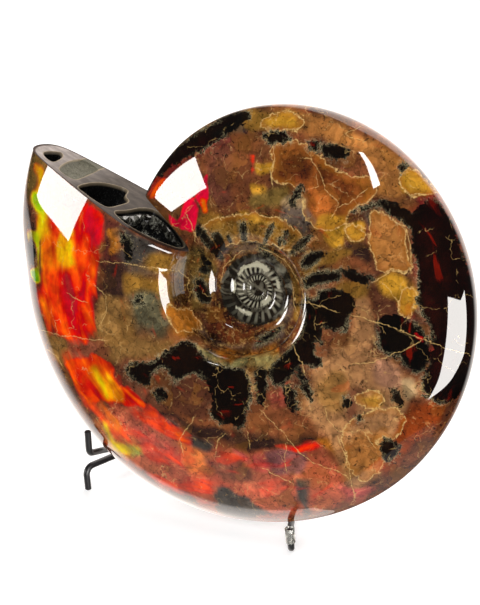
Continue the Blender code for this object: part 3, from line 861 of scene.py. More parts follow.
CELLS = (
    (273, 150, 282, 143, 296, 142, 308, 147, 318, 155, 328, 162, 342, 172, 354, 179, 368, 176, 376, 186,
        372, 197, 360, 204, 350, 212, 344, 228, 326, 230, 312, 226, 304, 214, 302, 198, 292, 186, 278, 183,
        271, 176, 274, 164),
    (372, 208, 384, 214, 396, 223, 404, 230, 407, 246, 411, 262, 411, 270, 404, 274, 392, 270, 384, 274,
        376, 264, 370, 246, 369, 226),
    (348, 226, 358, 224, 366, 232, 362, 238, 352, 241, 346, 234),
    (398, 300, 402, 292, 410, 287, 416, 294, 415, 307, 405, 317, 400, 310),
    (400, 172, 414, 170, 430, 184, 434, 194, 420, 196, 402, 190),
    (342, 436, 352, 420, 372, 410, 392, 408, 404, 416, 402, 430, 392, 439, 384, 434, 378, 442, 384, 456,
        378, 472, 362, 482, 350, 470, 344, 452),
    (356, 398, 372, 388, 386, 398, 380, 407, 364, 406),
    (262, 119, 282, 113, 302, 117, 304, 128, 280, 131, 264, 128),
    (166, 304, 178, 310, 190, 309, 200, 327, 190, 332, 174, 328),
    (204, 226, 232, 215, 262, 214, 284, 222, 304, 240, 292, 250, 274, 246, 250, 240, 228, 246, 214, 254),
)

VEINS_A = (
    (352, 316, 366, 319, 378, 324, 392, 328, 408, 334, 424, 340, 436, 344, 450, 350, 468, 354),
    (262, 412, 278, 428, 290, 441, 300, 453, 312, 462, 326, 468, 338, 471, 348, 478),
    (304, 158, 311, 160, 317, 168, 323, 177, 325, 189, 332, 196, 339, 203, 336, 210, 332, 216),
    (100, 261, 130, 264, 160, 269, 181, 272, 188, 279, 188, 288),
    (43, 330, 60, 336, 82, 338, 104, 341),
    (194, 418, 185, 431, 180, 440, 183, 452),
    (262, 247, 275, 253, 286, 262, 295, 275, 301, 288, 304, 303, 318, 306, 336, 312),
    (70, 295, 76, 300, 84, 302),
    (216, 452, 218, 441, 223, 436),
    (404, 226, 410, 240, 412, 258, 413, 268, 406, 274, 392, 271, 384, 276, 374, 282),
    (383, 284, 390, 290, 398, 301),
    (360, 127, 346, 134, 352, 139, 362, 141),
)

VEINS_B = (
    (352, 364, 372, 362, 384, 358, 396, 353, 411, 347, 424, 339),
    (338, 438, 346, 456, 350, 470, 352, 484, 354, 500),
    (326, 410, 330, 424, 341, 432, 352, 432, 362, 430, 374, 446),
    (339, 206, 350, 203, 358, 197, 364, 190),
    (272, 148, 274, 160, 271, 173, 272, 184),
    (262, 469, 275, 474, 290, 482),
    (286, 446, 284, 458, 286, 470),
    (222, 280, 224, 268, 232, 258, 242, 252),
    (268, 258, 281, 267, 290, 280, 295, 297, 296, 314),
    (247, 432, 250, 445),
    (48, 350, 57, 358, 62, 366),
    (294, 347, 300, 362, 305, 373),
    (96, 286, 106, 296, 107, 310, 102, 322),
    (316, 176, 318, 186, 310, 188),
    (186, 215, 192, 226, 196, 240),
)

CRUST = (
    (238, 275, 241, 267, 247, 265, 252, 263, 257, 261, 264, 264, 270, 270, 266, 272, 259, 268, 250, 268,
        243, 271, 240, 276),
    (232, 282, 235, 280, 236, 290, 233, 292),
    (276, 279, 279, 281, 280, 289, 277, 288),
    (236, 306, 243, 309, 252, 313, 250, 316, 240, 312),
    (262, 300, 270, 296, 271, 301, 264, 306),
)

MARKINGS = Markings(PATCHES, FLAMES, DARK, PALE, CELLS, CRUST, VEINS_A, VEINS_B)


@dataclass
class Ammonite:
    """The fossil: both sides of the coil, the sawn face with its chambers, and the notch beside it.

    Lattices are the spacing of the sawn face's points, outside and inside its chambers. Floor gives the
    size, share and seed of the waves on a chamber's floor, and sway how far outlines waver. The discs,
    each a middle and two radii in pixels, are where whorls turn grey, and where markings are busier and
    painted shade darkens the tone around the umbilical hollow.
    """

    coil: Coil = field(default_factory=Coil)
    camera: StudioCamera = field(default_factory=StudioCamera)
    row_step: float = 1.0
    inner_whorls: float = 3.5
    front_wall_columns: int = 14
    front_flank_columns: int = 84
    back_wall_columns: int = 6
    back_flank_columns: int = 30
    wall_crowding: float = 1.5
    fine_steps: int = 4000
    face_width: float = 86.0
    lattice: float = 1.1
    fine_lattice: float = 0.7
    clearance: float = 0.4
    rim: float = 0.3
    floor: tuple = ((4.0, 0.10, 31), (1.8, 0.06, 41))
    sway: tuple = (9.0, 1.6)
    flame_sway: float = 0.6
    plain_fire: float = 0.15
    ground: tuple = (26.0, 0.8)
    grey_disc: tuple = (256.5, 289.5, 39.0, 33.0)
    busy_and_shaded_disc: tuple = (256.0, 292.0, 96.0, 62.0)

    def even_shares(self, count: int) -> Array:
        """Shares that part the youngest flank into equal lengths from shoulder to venter.

        Args:
            count: how many lengths.

        Returns:
            One more share than lengths.
        """
        fine = 1 - np.linspace(1.0, 0.0, self.fine_steps) ** 3
        radius, depth = self.coil.flank(np.zeros_like(fine), fine)
        steps = np.hypot(np.diff(radius), np.diff(depth))
        run = np.concatenate([[0.0], np.cumsum(steps)])
        return np.interp(np.linspace(0.0, run[-1], count + 1), run, fine)

    def side(self, sign: float, wall_columns: int, flank_columns: int) -> tuple[Array, Array]:
        """Grids of (world x, y, z, age, share) for the wall and the flank on one side of the shell.

        Args:
            sign: 1 for the front, -1 for the back.
            wall_columns: columns from seam to shoulder.
            flank_columns: columns from shoulder to venter.

        Returns:
            The wall's grid and the flank's grid, a row for each age.
        """
        rows = int(WHORL / self.row_step)
        ages = np.arange(int(rows * (self.inner_whorls + 1)) + 1)[:, None] * self.row_step
        shares = np.linspace(0.0, 1.0, wall_columns + 1)[None, :] ** self.wall_crowding
        radius, depth = self.coil.wall(ages, shares)
        wall = self.pack_grid(ages, shares - 1.0, radius, sign * depth)
        ages = ages[:rows + 1]
        shares = self.even_shares(flank_columns)[None, :]
        radius, depth = self.coil.flank(ages, shares)
        ages = ages - self.coil.notch_turn(ages, radius)
        return wall, self.pack_grid(ages, shares, radius, sign * depth)

    def pack_grid(self, ages: Array, shares: Array, radius: Array, front: Array) -> Array:
        """Put world place, age and share together along the last axis.

        Args:
            ages: age of each row or vertex.
            shares: share of each column.
            radius: distance from the pole.
            front: distance in front of the mid-plane.

        Returns:
            The grid.
        """
        place = self.coil.world(ages, radius, front)
        extra = np.stack(np.broadcast_arrays(ages, shares, radius)[:2], axis=-1)
        return np.concatenate([place, extra], axis=-1)

    def section(self, wall_columns: int, flank_columns: int) -> Array:
        """The sawn section's edge on one side, from seam to venter.

        Args:
            wall_columns: columns from seam to shoulder.
            flank_columns: columns from shoulder to venter.

        Returns:
            Rows of (radius, depth).
        """
        shares = np.linspace(0.0, 1.0, wall_columns + 1) ** self.wall_crowding
        zero = np.zeros_like(shares)
        wall = np.stack(self.coil.wall(zero, shares), axis=-1)
        shares = self.even_shares(flank_columns)
        flank = np.stack(self.coil.flank(np.zeros_like(shares), shares), axis=-1)
        return np.concatenate([wall, flank[1:]])

    def face_loop(self) -> Array:
        """The whole edge of the sawn face: up the front side and back down the other.

        Returns:
            Rows of (radius, front).
        """
        front = self.section(self.front_wall_columns, self.front_flank_columns)
        back = self.section(self.back_wall_columns, self.back_flank_columns) * (1.0, -1.0)
        return np.concatenate([front, back[-2::-1]])

    def sawn_reach(self, places: Array) -> Array:
        """How far the sawn face is sunk: depth * (1 - exp(-slope * inside / depth)) in a chamber, roughened.

        Args:
            places: rows of (radius, front).

        Returns:
            The depth along the coil at each.
        """
        reach = np.zeros(len(places))
        for number, chamber in enumerate(CHAMBERS):
            inside = outline_distance(places, closed_loop(chamber.outline, 6), 12.0)
            bowl = chamber.depth * (1 - np.exp(-chamber.slope * np.clip(inside, 0.0, None) / chamber.depth))
            rough = 1 + sum(part * waves(places, size, seed + number) for size, part, seed in self.floor)
            reach = np.maximum(reach, np.where(inside > 0, np.minimum(bowl * rough, chamber.depth), 0.0))
        return reach

    def sawn_face(self) -> tuple[Array, list]:
        """Triangles of the sawn face.

        The face is a flat lattice of points, held to its edge and to two loops around each chamber,
        and then each point is sunk along the coil by sawn_reach().

        Returns:
            Rows of (world x, y, z, radius, front) and the triangles' corner numbers.
        """
        edge = self.face_loop()
        loops = [edge]
        for chamber in CHAMBERS:
            outline = closed_loop(chamber.outline, 8)
            loops += [outline, inset(outline, self.rim), inset(outline, self.rim * 4)]
        inner = self.lattice_points(edge, self.lattice, loops, -1.0)
        for chamber in CHAMBERS:
            inner = np.concatenate([inner, self.lattice_points(closed_loop(chamber.outline, 8),
                                                               self.fine_lattice, loops, 1.0)])
        points = np.concatenate(loops + [inner])
        sides, first = [], 0
        for loop in loops:
            numbers = first + np.arange(len(loop))
            sides += np.stack([numbers, np.roll(numbers, -1)], axis=1).tolist()
            first += len(loop)
        flat, _, triangles, *_ = delaunay_2d_cdt([Vector(p) for p in points], sides, [], 1, 1e-5)
        flat = np.array([tuple(v) for v in flat])
        reach = self.sawn_reach(flat)
        age = np.degrees(reach / flat[:, 0])
        place = self.coil.world(age, flat[:, 0], flat[:, 1])
        middle = np.array([flat[list(t)].mean(0) for t in triangles])
        kept = outline_distance(middle, edge, FAR) > 0
        return np.concatenate([place, flat], axis=1), [list(t) for t, keep in zip(triangles, kept) if keep]

    def lattice_points(self, outline: Array, step: float, loops: list, sign: float) -> Array:
        """Points of a triangular lattice inside an outline, clear of all loops.

        Args:
            outline: closed outline that holds the lattice.
            step: spacing of the lattice.
            loops: outlines that the lattice keeps clear of.
            sign: 1 to keep points inside a chamber, -1 to keep those outside every chamber.

        Returns:
            The points.
        """
        low, high = outline.min(0), outline.max(0)
        rows = np.arange(low[1], high[1], step * TRIANGLE_HEIGHT)
        columns = np.arange(low[0], high[0], step)
        grid = np.stack(np.meshgrid(columns, rows), axis=-1)
        grid[1::2, :, 0] += step / 2
        places = grid.reshape(-1, 2)
        clear = step * self.clearance
        places = places[outline_distance(places, outline, FAR) > clear]
        for number, loop in enumerate(loops):
            gap = outline_distance(places, loop, FAR)
            keep = np.abs(gap) > clear
            if sign < 0 and number > 0:
                keep &= gap < 0
            places = places[keep]
        return places

    def notch_face(self) -> tuple[Array, list]:
        """The face across the notch: triangles between the last rows of both flanks.

        Returns:
            Rows of (world x, y, z, radius, front) and the triangles' corner numbers.
        """
        front = self.even_shares(self.front_flank_columns)
        back = self.even_shares(self.back_flank_columns)
        loops = []
        for shares, sign in ((front, 1.0), (back[-2::-1], -1.0)):
            age = np.full_like(shares, WHORL)
            radius, depth = self.coil.flank(age, shares)
            turn = self.coil.notch_turn(age, radius)
            loops.append(np.concatenate([self.coil.world(age - turn, radius, sign * depth),
                                         np.stack([radius, sign * depth], axis=1)], axis=1))
        loop = np.concatenate(loops)
        numbers = np.arange(len(loop))
        sides = np.stack([numbers, np.roll(numbers, -1)], axis=1).tolist()
        flat, _, triangles, *_ = delaunay_2d_cdt([Vector(p) for p in loop[:, 3:]], sides, [], 1, 1e-6)
        flat = np.array([tuple(v) for v in flat])
        turn = self.coil.notch_turn(np.full(len(flat), WHORL), flat[:, 0])
        place = self.coil.world(WHORL - turn, flat[:, 0], flat[:, 1])
        return np.concatenate([place, flat], axis=1), [list(t) for t in triangles]

    def build(self) -> bpy.types.Object:
        """Join both sides, the sawn face, the notch and the centres into one closed mesh.

        Returns:
            The shell.
        """
        blocks, marks, faces = [], [], []
        count = 0
        per_whorl = int(WHORL / self.row_step)
        for sign, walls, flanks in ((1.0, self.front_wall_columns, self.front_flank_columns),
                                    (-1.0, self.back_wall_columns, self.back_flank_columns)):
            for grid in self.side(sign, walls, flanks):
                rows, columns, _ = grid.shape
                faces += grid_quads(rows, columns, count, sign < 0).tolist()
                if columns == walls + 1:
                    tail = count + (rows - per_whorl - 1 + np.arange(per_whorl + 1)) * columns
                    faces.append(tail.tolist() + (tail[-1] + np.arange(1, columns - 1)).tolist())
                blocks.append(grid.reshape(-1, 5))
                marks.append(np.zeros(rows * columns))
                count += rows * columns
        for mark, (points, triangles) in ((1.0, self.sawn_face()), (0.0, self.notch_face())):
            faces += [[count + corner for corner in triangle] for triangle in triangles]
            blocks.append(points)
            marks.append(np.full(len(points), mark))
            count += len(points)
        table = np.concatenate(blocks)
        piece = make_piece("ammonite_shell", table[:, :3], faces)
        mesh = piece.data
        mark = np.concatenate(marks)
        give(mesh, "age", table[:, 3])
        give(mesh, "share", table[:, 4])
        give(mesh, "sawn", mark)
        slots = mark[np.array([face[0] for face in faces])].astype(np.int32)
        mesh.polygons.foreach_set("material_index", slots)
        weld(mesh)
        return piece

    def paint(self, piece: bpy.types.Object, marks: Markings) -> None:
        """Give every vertex its markings: colours, and signed distances to outlines in picture pixels.

        A vertex of the back is first mirrored to the front, and takes what is painted there.

        Args:
            piece: the shell.
            marks: what is painted.
        """
        mesh = piece.data
        world = np.empty(len(mesh.vertices) * 3, np.float32)
        mesh.vertices.foreach_get("co", world)
        local = self.coil.local(world.reshape(-1, 3).astype(float) / MM)
        place = self.coil.leant(local[:, 0], local[:, 1], np.abs(local[:, 2]))
        pixel = self.camera.project(place, np.asarray(self.coil.pole))
        size, push = self.sway
        sway = np.stack([waves(place, size, 3), waves(place, size, 4)], axis=1) * push
        tint = np.ones((len(pixel), 4)) * linear(Tint.UMBER.value)
        size, blend = self.ground
        share = smoothstep(-blend, blend, waves(place, size, 5))[:, None]
        tint = tint * (1 - share) + np.array(linear(Tint.CHESTNUT.value)) * share
        for patch in marks.patches:
            reach = outline_distance(pixel + sway, closed_loop(patch.outline, 4))
            share = patch.share * smoothstep(-patch.soft, patch.soft, reach)[:, None]
            tint = tint * (1 - share) + np.array(linear(patch.tint.value)) * share
        give(mesh, "tint", tint)
        fire, nacre = np.full(len(pixel), self.plain_fire), np.zeros(len(pixel))
        for flame in marks.flames:
            reach = outline_distance(pixel + sway * self.flame_sway, closed_loop(flame.outline, 4))
            share = flame.share * smoothstep(-flame.soft, flame.soft, reach)
            fire = fire * (1 - share) + flame.fire * share
            nacre = np.maximum(nacre, share)
        give(mesh, "fire", fire)
        give(mesh, "nacre", nacre)
        for name, outlines in (("dark", marks.dark), ("cell", marks.cells), ("crust", marks.crust)):
            reach = np.full(len(pixel), -40.0)
            for outline in outlines:
                reach = np.maximum(reach, outline_distance(pixel, closed_loop(outline, 4)))
            for outline in marks.pale if name == "dark" else ():
                reach = np.minimum(reach, -outline_distance(pixel, closed_loop(outline, 4)))
            give(mesh, name, reach)
        for name, lines in (("a", marks.veins_a), ("b", marks.veins_b)):
            plain, signed = np.full(len(pixel), 12.0), np.full(len(pixel), 12.0)
            for line in lines:
                near, side = line_distance(pixel, np.asarray(line, float).reshape(-1, 2))
                signed = np.where(near < plain, side, signed)
                plain = np.minimum(near, plain)
            give(mesh, "vein_" + name, signed)
            give(mesh, "vein_reach_" + name, plain)
        for name, (column, row, outer, inner) in (("grey", self.grey_disc), ("busy_and_shaded", self.busy_and_shaded_disc)):
            give(mesh, name, smoothstep(outer, inner, np.hypot(*(pixel - (column, row)).T)))
        self.paint_sawn(mesh, np.hypot(local[:, 0], local[:, 1]), local[:, 2])

    def paint_sawn(self, mesh: bpy.types.Mesh, radius: Array, front: Array) -> None:
        """Give the sawn face its distances in millimetres: to its edge, its chambers and its depth.

        Args:
            mesh: the shell.
            radius: distance of each vertex from the pole.
            front: its distance in front of the mid-plane.
        """
        sawn = np.empty(len(mesh.vertices), np.float32)
        mesh.attributes["sawn"].data.foreach_get("value", sawn)
        chosen = sawn > 0.5
        places = np.stack([radius, front], axis=1)[chosen]
        hollow = np.full(len(places), -20.0)
        filled = outline_distance(places, closed_loop(FILLED_BAND, 6), 20.0)
        for chamber in (SMALL_CHAMBER, LARGE_CHAMBER, LAST_CHAMBER):
            hollow = np.maximum(hollow, outline_distance(places, closed_loop(chamber.outline, 6), 20.0))
        hollow = np.maximum(hollow, filled)
        edge = outline_distance(places, self.face_loop(), 40.0)
        sunk = self.sawn_reach(places) * (filled < 0)
        for name, values in (("hollow", hollow), ("filled", filled), ("edge", edge), ("sunk", sunk)):
            every = np.zeros(len(sawn))
            every[chosen] = values
            give(mesh, name, every)
        outward = (places[:, 0] - self.coil.seam) / self.face_width
        for name, value in (("age", 0.0), ("share", np.clip(outward, -0.5, 1.0))):
            stored = np.empty(len(sawn), np.float32)
            mesh.attributes[name].data.foreach_get("value", stored)
            stored[chosen] = value
            mesh.attributes[name].data.foreach_set("value", stored)


def inset(loop: Array, distance: float) -> Array:
    """Move a closed outline inwards, along the normal at each point.

    Args:
        loop: points of the outline.
        distance: how far.

    Returns:
        The new points.
    """
    ahead = np.roll(loop, -1, axis=0) - np.roll(loop, 1, axis=0)
    inward = np.stack([-ahead[:, 1], ahead[:, 0]], axis=1) / np.linalg.norm(ahead, axis=1, keepdims=True)
    after = np.roll(loop, -1, axis=0)
    turning = np.sum(loop[:, 0] * after[:, 1] - after[:, 0] * loop[:, 1])
    return loop + inward * math.copysign(distance, turning)


@dataclass
class WirePiece:
    """One bent wire of the stand, along corners measured from the table point below the pole.

    No run of any wire is parallel to athwart, which gives the circle along it a first direction.
    """

    name: str
    corners: tuple
    level_end: bool = False
    radius: float = 1.45
    bend: float = 3.6
    bend_steps: int = 10
    chamfer: float = 0.35
    athwart: tuple = (0.93, 0.21, 0.3)
    sides: int = 28

    def path(self) -> Array:
        """Centre line: straight runs joined by arcs of the bend radius.

        Returns:
            Its points.
        """
        corners = np.asarray(self.corners, float)
        before, here, after = corners[:-2], corners[1:-1], corners[2:]
        to_before = (before - here) / np.linalg.norm(before - here, axis=1, keepdims=True)
        to_after = (after - here) / np.linalg.norm(after - here, axis=1, keepdims=True)
        half = np.arccos(np.clip((to_before * to_after).sum(1), -1, 1)) / 2
        start = here + to_before * (self.bend / np.tan(half))[:, None]
        middle = to_before + to_after
        middle /= np.linalg.norm(middle, axis=1, keepdims=True)
        centre = here + middle * (self.bend / np.sin(half))[:, None]
        arm = start - centre
        axis = np.cross(to_before, to_after)
        axis /= np.linalg.norm(axis, axis=1, keepdims=True)
        angle = ((math.pi - 2 * half)[:, None] * np.linspace(0, 1, self.bend_steps + 1))[..., None]
        bends = centre[:, None] + arm[:, None] * np.cos(angle) - np.cross(axis, arm)[:, None] * np.sin(angle)
        return np.concatenate([corners[:1], bends.reshape(-1, 3), corners[-1:]])

    def build(self, foot: Array) -> bpy.types.Object:
        """Carry a circle along the centre line and close both ends with a small chamfer.

        Args:
            foot: world place of the table point below the pole.

        Returns:
            The wire.
        """
        path = self.path()
        tangent = np.gradient(path, axis=0)
        tangent[0], tangent[-1] = path[1] - path[0], path[-1] - path[-2]
        if self.level_end:
            tangent[-1] = (0.0, 0.0, -1.0)
        tangent /= np.linalg.norm(tangent, axis=1, keepdims=True)
        side = np.cross(tangent, self.athwart)
        side /= np.linalg.norm(side, axis=1, keepdims=True)
        other = np.cross(tangent, side)
        sizes = np.full(len(path), self.radius)
        inner = [path[0] + tangent[0] * self.chamfer, path[-1] - tangent[-1] * self.chamfer]
        path = np.concatenate([path[:1], inner[:1], path[1:-1], inner[1:], path[-1:]])
        side = np.concatenate([side[:1], side[:1], side[1:-1], side[-1:], side[-1:]])
        other = np.concatenate([other[:1], other[:1], other[1:-1], other[-1:], other[-1:]])
        sizes = np.concatenate([sizes[:1] - self.chamfer, sizes, sizes[-1:] - self.chamfer])
        turn = 2 * math.pi * np.arange(self.sides + 1) / self.sides
        ring = side[:, None] * np.cos(turn)[None, :, None] + other[:, None] * np.sin(turn)[None, :, None]
        points = path[:, None] + ring * sizes[:, None, None] + foot
        points[..., 2] = np.maximum(points[..., 2], 0.0)
        rows, columns, _ = points.shape
        faces = grid_quads(rows, columns, 0, False).tolist()
        faces.append(list(range(columns - 1)))
        faces.append(list(range((rows - 1) * columns, rows * columns - 1)))
        piece = make_piece(self.name + "_wire", points.reshape(-1, 3), faces)
        weld(piece.data)
        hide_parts(self.name)
        return piece


@dataclass
class Sleeve:
    """Short clear tube over the upturned end of the right arm."""

    top: tuple
    below: tuple
    inner: float = 1.8
    outer: float = 2.12
    high: float = 12.4
    low: float = 5.6
    sides: int = 32
    rounding: float = 0.12
    sharp: float = 50.0

    def build(self, foot: Array) -> bpy.types.Object:
        """Turn the wall's section, with its rounded corners, about the wire's own line.

        Args:
            foot: world place of the table point below the pole.

        Returns:
            The tube.
        """
        top = np.asarray(self.top, float)
        along = top - np.asarray(self.below, float)
        along /= np.linalg.norm(along)
        side = np.cross(along, (0.0, 1.0, 0.0))
        side /= np.linalg.norm(side)
        other = np.cross(along, side)
        inner, outer, low, high, cut = self.inner, self.outer, self.low, self.high, self.rounding
        wall = np.array([(inner, low + cut), (inner + cut, low), (outer - cut, low), (outer, low + cut),
                         (outer, high - cut), (outer - cut, high), (inner + cut, high), (inner, high - cut),
                         (inner, low + cut)])
        turn = 2 * math.pi * np.arange(self.sides + 1) / self.sides
        ring = side * np.cos(turn)[:, None] + other * np.sin(turn)[:, None]
        centre = top + along * ((wall[:, 1] - top[2]) / along[2])[:, None]
        points = centre[:, None] + ring[None] * wall[:, 0][:, None, None] + foot
        rows, columns, _ = points.shape
        piece = make_piece("clear_sleeve_tube", points.reshape(-1, 3),
                           grid_quads(rows, columns, 0, False).tolist())
        weld(piece.data, self.sharp)
        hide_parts("clear_sleeve")
        return piece


@dataclass(frozen=True)
class PolishedShell:
    """Calcite and pyrite in the place of a shell, ground and polished, with mother-of-pearl left on it.

    The polish gives the eye sharp, glassy highlights, with colour and grain lying below them; among the
    colours are painted shade around the umbilicus and a painted grey-violet reflection beside its seam. The
    outline of each marking comes from the mesh, as a distance in picture pixels, and noise frays it here.
    Scales count features per millimetre: grains are 0.9 mm, blotches 5 mm, clouds 14 mm, chips 9 mm,
    specks 1.8 mm, frills 2.4 mm, crystal threads 1.1 mm and the net of hair cracks 17 mm.
    """

    coat_roughness: float = 0.02
    coat_ior: float = 1.62
    vein: Tint = Tint.GOLD
    lace: Tint = Tint.LACE
    stain: str = "#8a5a1c"
    fleck: str = "#bd9450"
    pit: str = "#180d08"
    seam: str = "#24130b"
    pyrite_dark: str = "#12110c"
    pyrite_pale: str = "#b5b098"
    grains: float = 1.1
    blotches: float = 0.2
    clouds: float = 0.07
    chips: float = 0.11
    specks: float = 0.55
    frills: float = 0.42
    threads: float = 0.9
    cracks: float = 0.06
    mean_light: float = 0.9
    rib_pitch: float = 15.0

    def build(self) -> bpy.types.Material:
        """Lay down stone, cells, black mineral, nacre, veins and the smallest whorls, one over the other.

        Returns:
            The material.
        """
        material, node, place = start_material("polished_fossil_shell")
        grain = node("TexNoise", {"Vector": place, "Scale": self.grains, "Detail": 5.0, "Roughness": 0.62})
        blotch = node("TexNoise", {"Vector": place, "Scale": self.blotches, "Detail": 6.0,
                                   "Roughness": 0.53, "Distortion": 0.7})
        cloud = node("TexNoise", {"Vector": place, "Scale": self.clouds, "Detail": 3.0})
        colour = self.stone(node, place, blotch, cloud)
        colour = self.cells(node, colour, grain, blotch)
        colour = self.dark(node, colour, place, cloud)
        colour = self.nacre(node, colour, place)
        colour = self.veins(node, colour, place, grain, blotch)
        colour, height = self.coil(node, colour, grain, blotch)
        rough = node("MapRange", (grain, 0, 1, 0.24, 0.42))
        relief = node("Math", (grain, height), operation='ADD')
        bump = node("Bump", {"Height": relief, "Strength": 0.25, "Distance": 0.0003})
        shader = node("BsdfPrincipled", {
            "Base Color": colour, "Roughness": rough, "Normal": bump, "Specular IOR Level": 0.0,
            "Coat Weight": 1.0, "Coat Roughness": self.coat_roughness, "Coat IOR": self.coat_ior})
        node("OutputMaterial", {"Surface": shader})
        return material

    def stone(self, node: Adder, place: Socket, blotch: Socket, cloud: Socket) -> Socket:
        """Painted tint, broken into chips, clouded, mottled, darkened by painted shade round the umbilicus,
        and flecked with gold and black crystals.

        Args:
            node: adds a node to the material.
            place: coordinates in millimetres.
            blotch: noise of the blotches.
            cloud: noise of the clouds.

        Returns:
            The colour.
        """
        tint = node("Attribute", attribute_name="tint")
        bend = node("TexNoise", {"Vector": place, "Scale": 0.17, "Detail": 4.0}, 1)
        bend = node("VectorMath", {0: bend, "Scale": 11.0}, operation='SCALE')
        bent = node("VectorMath", (place, bend), operation='ADD')
        chip = node("TexVoronoi", {"Vector": bent, "Scale": self.chips, "Smoothness": 0.25}, 1,
                    feature='SMOOTH_F1')
        seam = node("TexVoronoi", {"Vector": bent, "Scale": self.chips}, feature='DISTANCE_TO_EDGE')
        level = node("SeparateXYZ", (chip,), 0)
        golden = node("SeparateXYZ", (chip,), 1)
        level = node("MapRange", (level, 0, 1, 0.5, 1.3))
        light = node("MapRange", (blotch, 0.32, 0.66, 0.22, 1.6))
        sway = node("MapRange", (cloud, 0.35, 0.65, 0.75, 1.25))
        for factor in (sway, level):
            light = node("Math", (light, factor), operation='MULTIPLY')
        busy_and_shaded = node("Attribute", out=2, attribute_name="busy_and_shaded")
        contrast = node("MapRange", (busy_and_shaded, 0, 1, 0.6, 1.15))
        light = node("Math", (light, self.mean_light), operation='SUBTRACT')
        light = node("Math", (light, contrast, self.mean_light), operation='MULTIPLY_ADD')
        light = node("Math", (light, 0.04), operation='MAXIMUM')
        # painted shade: the tone falls to 0.62 towards the middle of the umbilical hollow
        shade = node("MapRange", (busy_and_shaded, 0, 1, 1.0, 0.62))
        light = node("Math", (light, shade), operation='MULTIPLY')
        tint = node("VectorMath", {0: tint, "Scale": light}, operation='SCALE')
        golden = node("MapRange", (golden, 0.55, 1.0, 0.0, 0.3))
        speck = node("TexNoise", {"Vector": place, "Scale": self.specks, "Detail": 7.0, "Roughness": 0.7,
                                  "Distortion": 1.0})
        more = node("Math", (busy_and_shaded, 0.06, speck), operation='MULTIPLY_ADD')
        gold = node("MapRange", (more, 0.6, 0.7, 0.0, 0.6))
        pit = node("MapRange", (speck, 0.44, 0.36, 0.0, 0.85))
        seam = node("MapRange", (seam, 0.05, 0.0, 0.0, 0.4))
        for share, over in ((golden, self.stain), (gold, self.fleck), (pit, self.pit), (seam, self.seam)):
            tint = node("Mix", {0: share, 6: tint, 7: linear(over)}, 2, data_type='RGBA')
        return tint

    def cells(self, node: Adder, colour: Socket, grain: Socket, blotch: Socket) -> Socket:
        """Amber cells: a glow just inside the outline and a thin, broken golden wall on it.

        Args:
            node: adds a node to the material.
            colour: what lies below.
            grain: noise of the grains.
            blotch: noise of the blotches.

        Returns:
            The colour.
        """
        reach = node("Attribute", out=2, attribute_name="cell")
        for noise, size in ((blotch, 8.0), (grain, 1.2)):
            fray = node("MapRange", (noise, 0, 1, -size, size))
            reach = node("Math", (reach, fray), operation='ADD')
        inside = node("MapRange", (reach, -0.2, 0.6))
        fade = node("MapRange", (reach, 7.0, 0.5, 0.0, 0.4))
        glow = node("Math", (inside, fade), operation='MULTIPLY')
        colour = node("Mix", {0: glow, 6: colour, 7: linear(Tint.AMBER.value)}, 2, data_type='RGBA')
        off = node("Math", (reach,), operation='ABSOLUTE')
        wall = node("MapRange", (off, 1.1, 0.25))
        part = node("MapRange", (grain, 0.4, 0.58, 0.1, 0.9))
        wall = node("Math", (wall, part), operation='MULTIPLY')
        return node("Mix", {0: wall, 6: colour, 7: linear(self.vein.value)}, 2, data_type='RGBA')

    def dark(self, node: Adder, colour: Socket, place: Socket, cloud: Socket) -> Socket:
        """Black mineral with a frilled outline, and a lace of pale crystal threads along it.

        Args:
            node: adds a node to the material.
            colour: what lies below.
            place: coordinates in millimetres.
            cloud: noise of the clouds.

        Returns:
            The colour.
        """
        reach = node("Attribute", out=2, attribute_name="dark")
        frill = node("TexNoise", {"Vector": place, "Scale": self.frills, "Detail": 5.0, "Roughness": 0.6,
                                  "Distortion": 0.6})
        fray = node("MapRange", (frill, 0.3, 0.7, -3.4, 3.4), clamp=False)
        busy_and_shaded = node("Attribute", out=2, attribute_name="busy_and_shaded")
        crisp = node("MapRange", (busy_and_shaded, 0, 1, 1.0, 0.35))
        reach = node("Math", (fray, crisp, reach), operation='MULTIPLY_ADD')
        inside = node("MapRange", (reach, -0.6, 0.6))
        deep = node("VectorMath", {0: colour, "Scale": 0.03}, operation='SCALE')
        colour = node("Mix", {0: inside, 6: colour, 7: deep}, 2, data_type='RGBA')
        off = node("Math", (reach,), operation='ABSOLUTE')
        lace = node("MapRange", (off, 3.6, 0.5))
        thread = node("TexNoise", {"Vector": place, "Scale": self.threads, "Detail": 4.0, "Distortion": 1.5})
        thread = node("Math", (thread, 0.5), operation='SUBTRACT')
        thread = node("Math", (thread,), operation='ABSOLUTE')
        thread = node("MapRange", (thread, 0.05, 0.012, 0.0, 0.6))
        some = node("MapRange", (cloud, 0.4, 0.56))
        for factor in (thread, some):
            lace = node("Math", (lace, factor), operation='MULTIPLY')
        return node("Mix", {0: lace, 6: colour, 7: linear(self.lace.value)}, 2, data_type='RGBA')

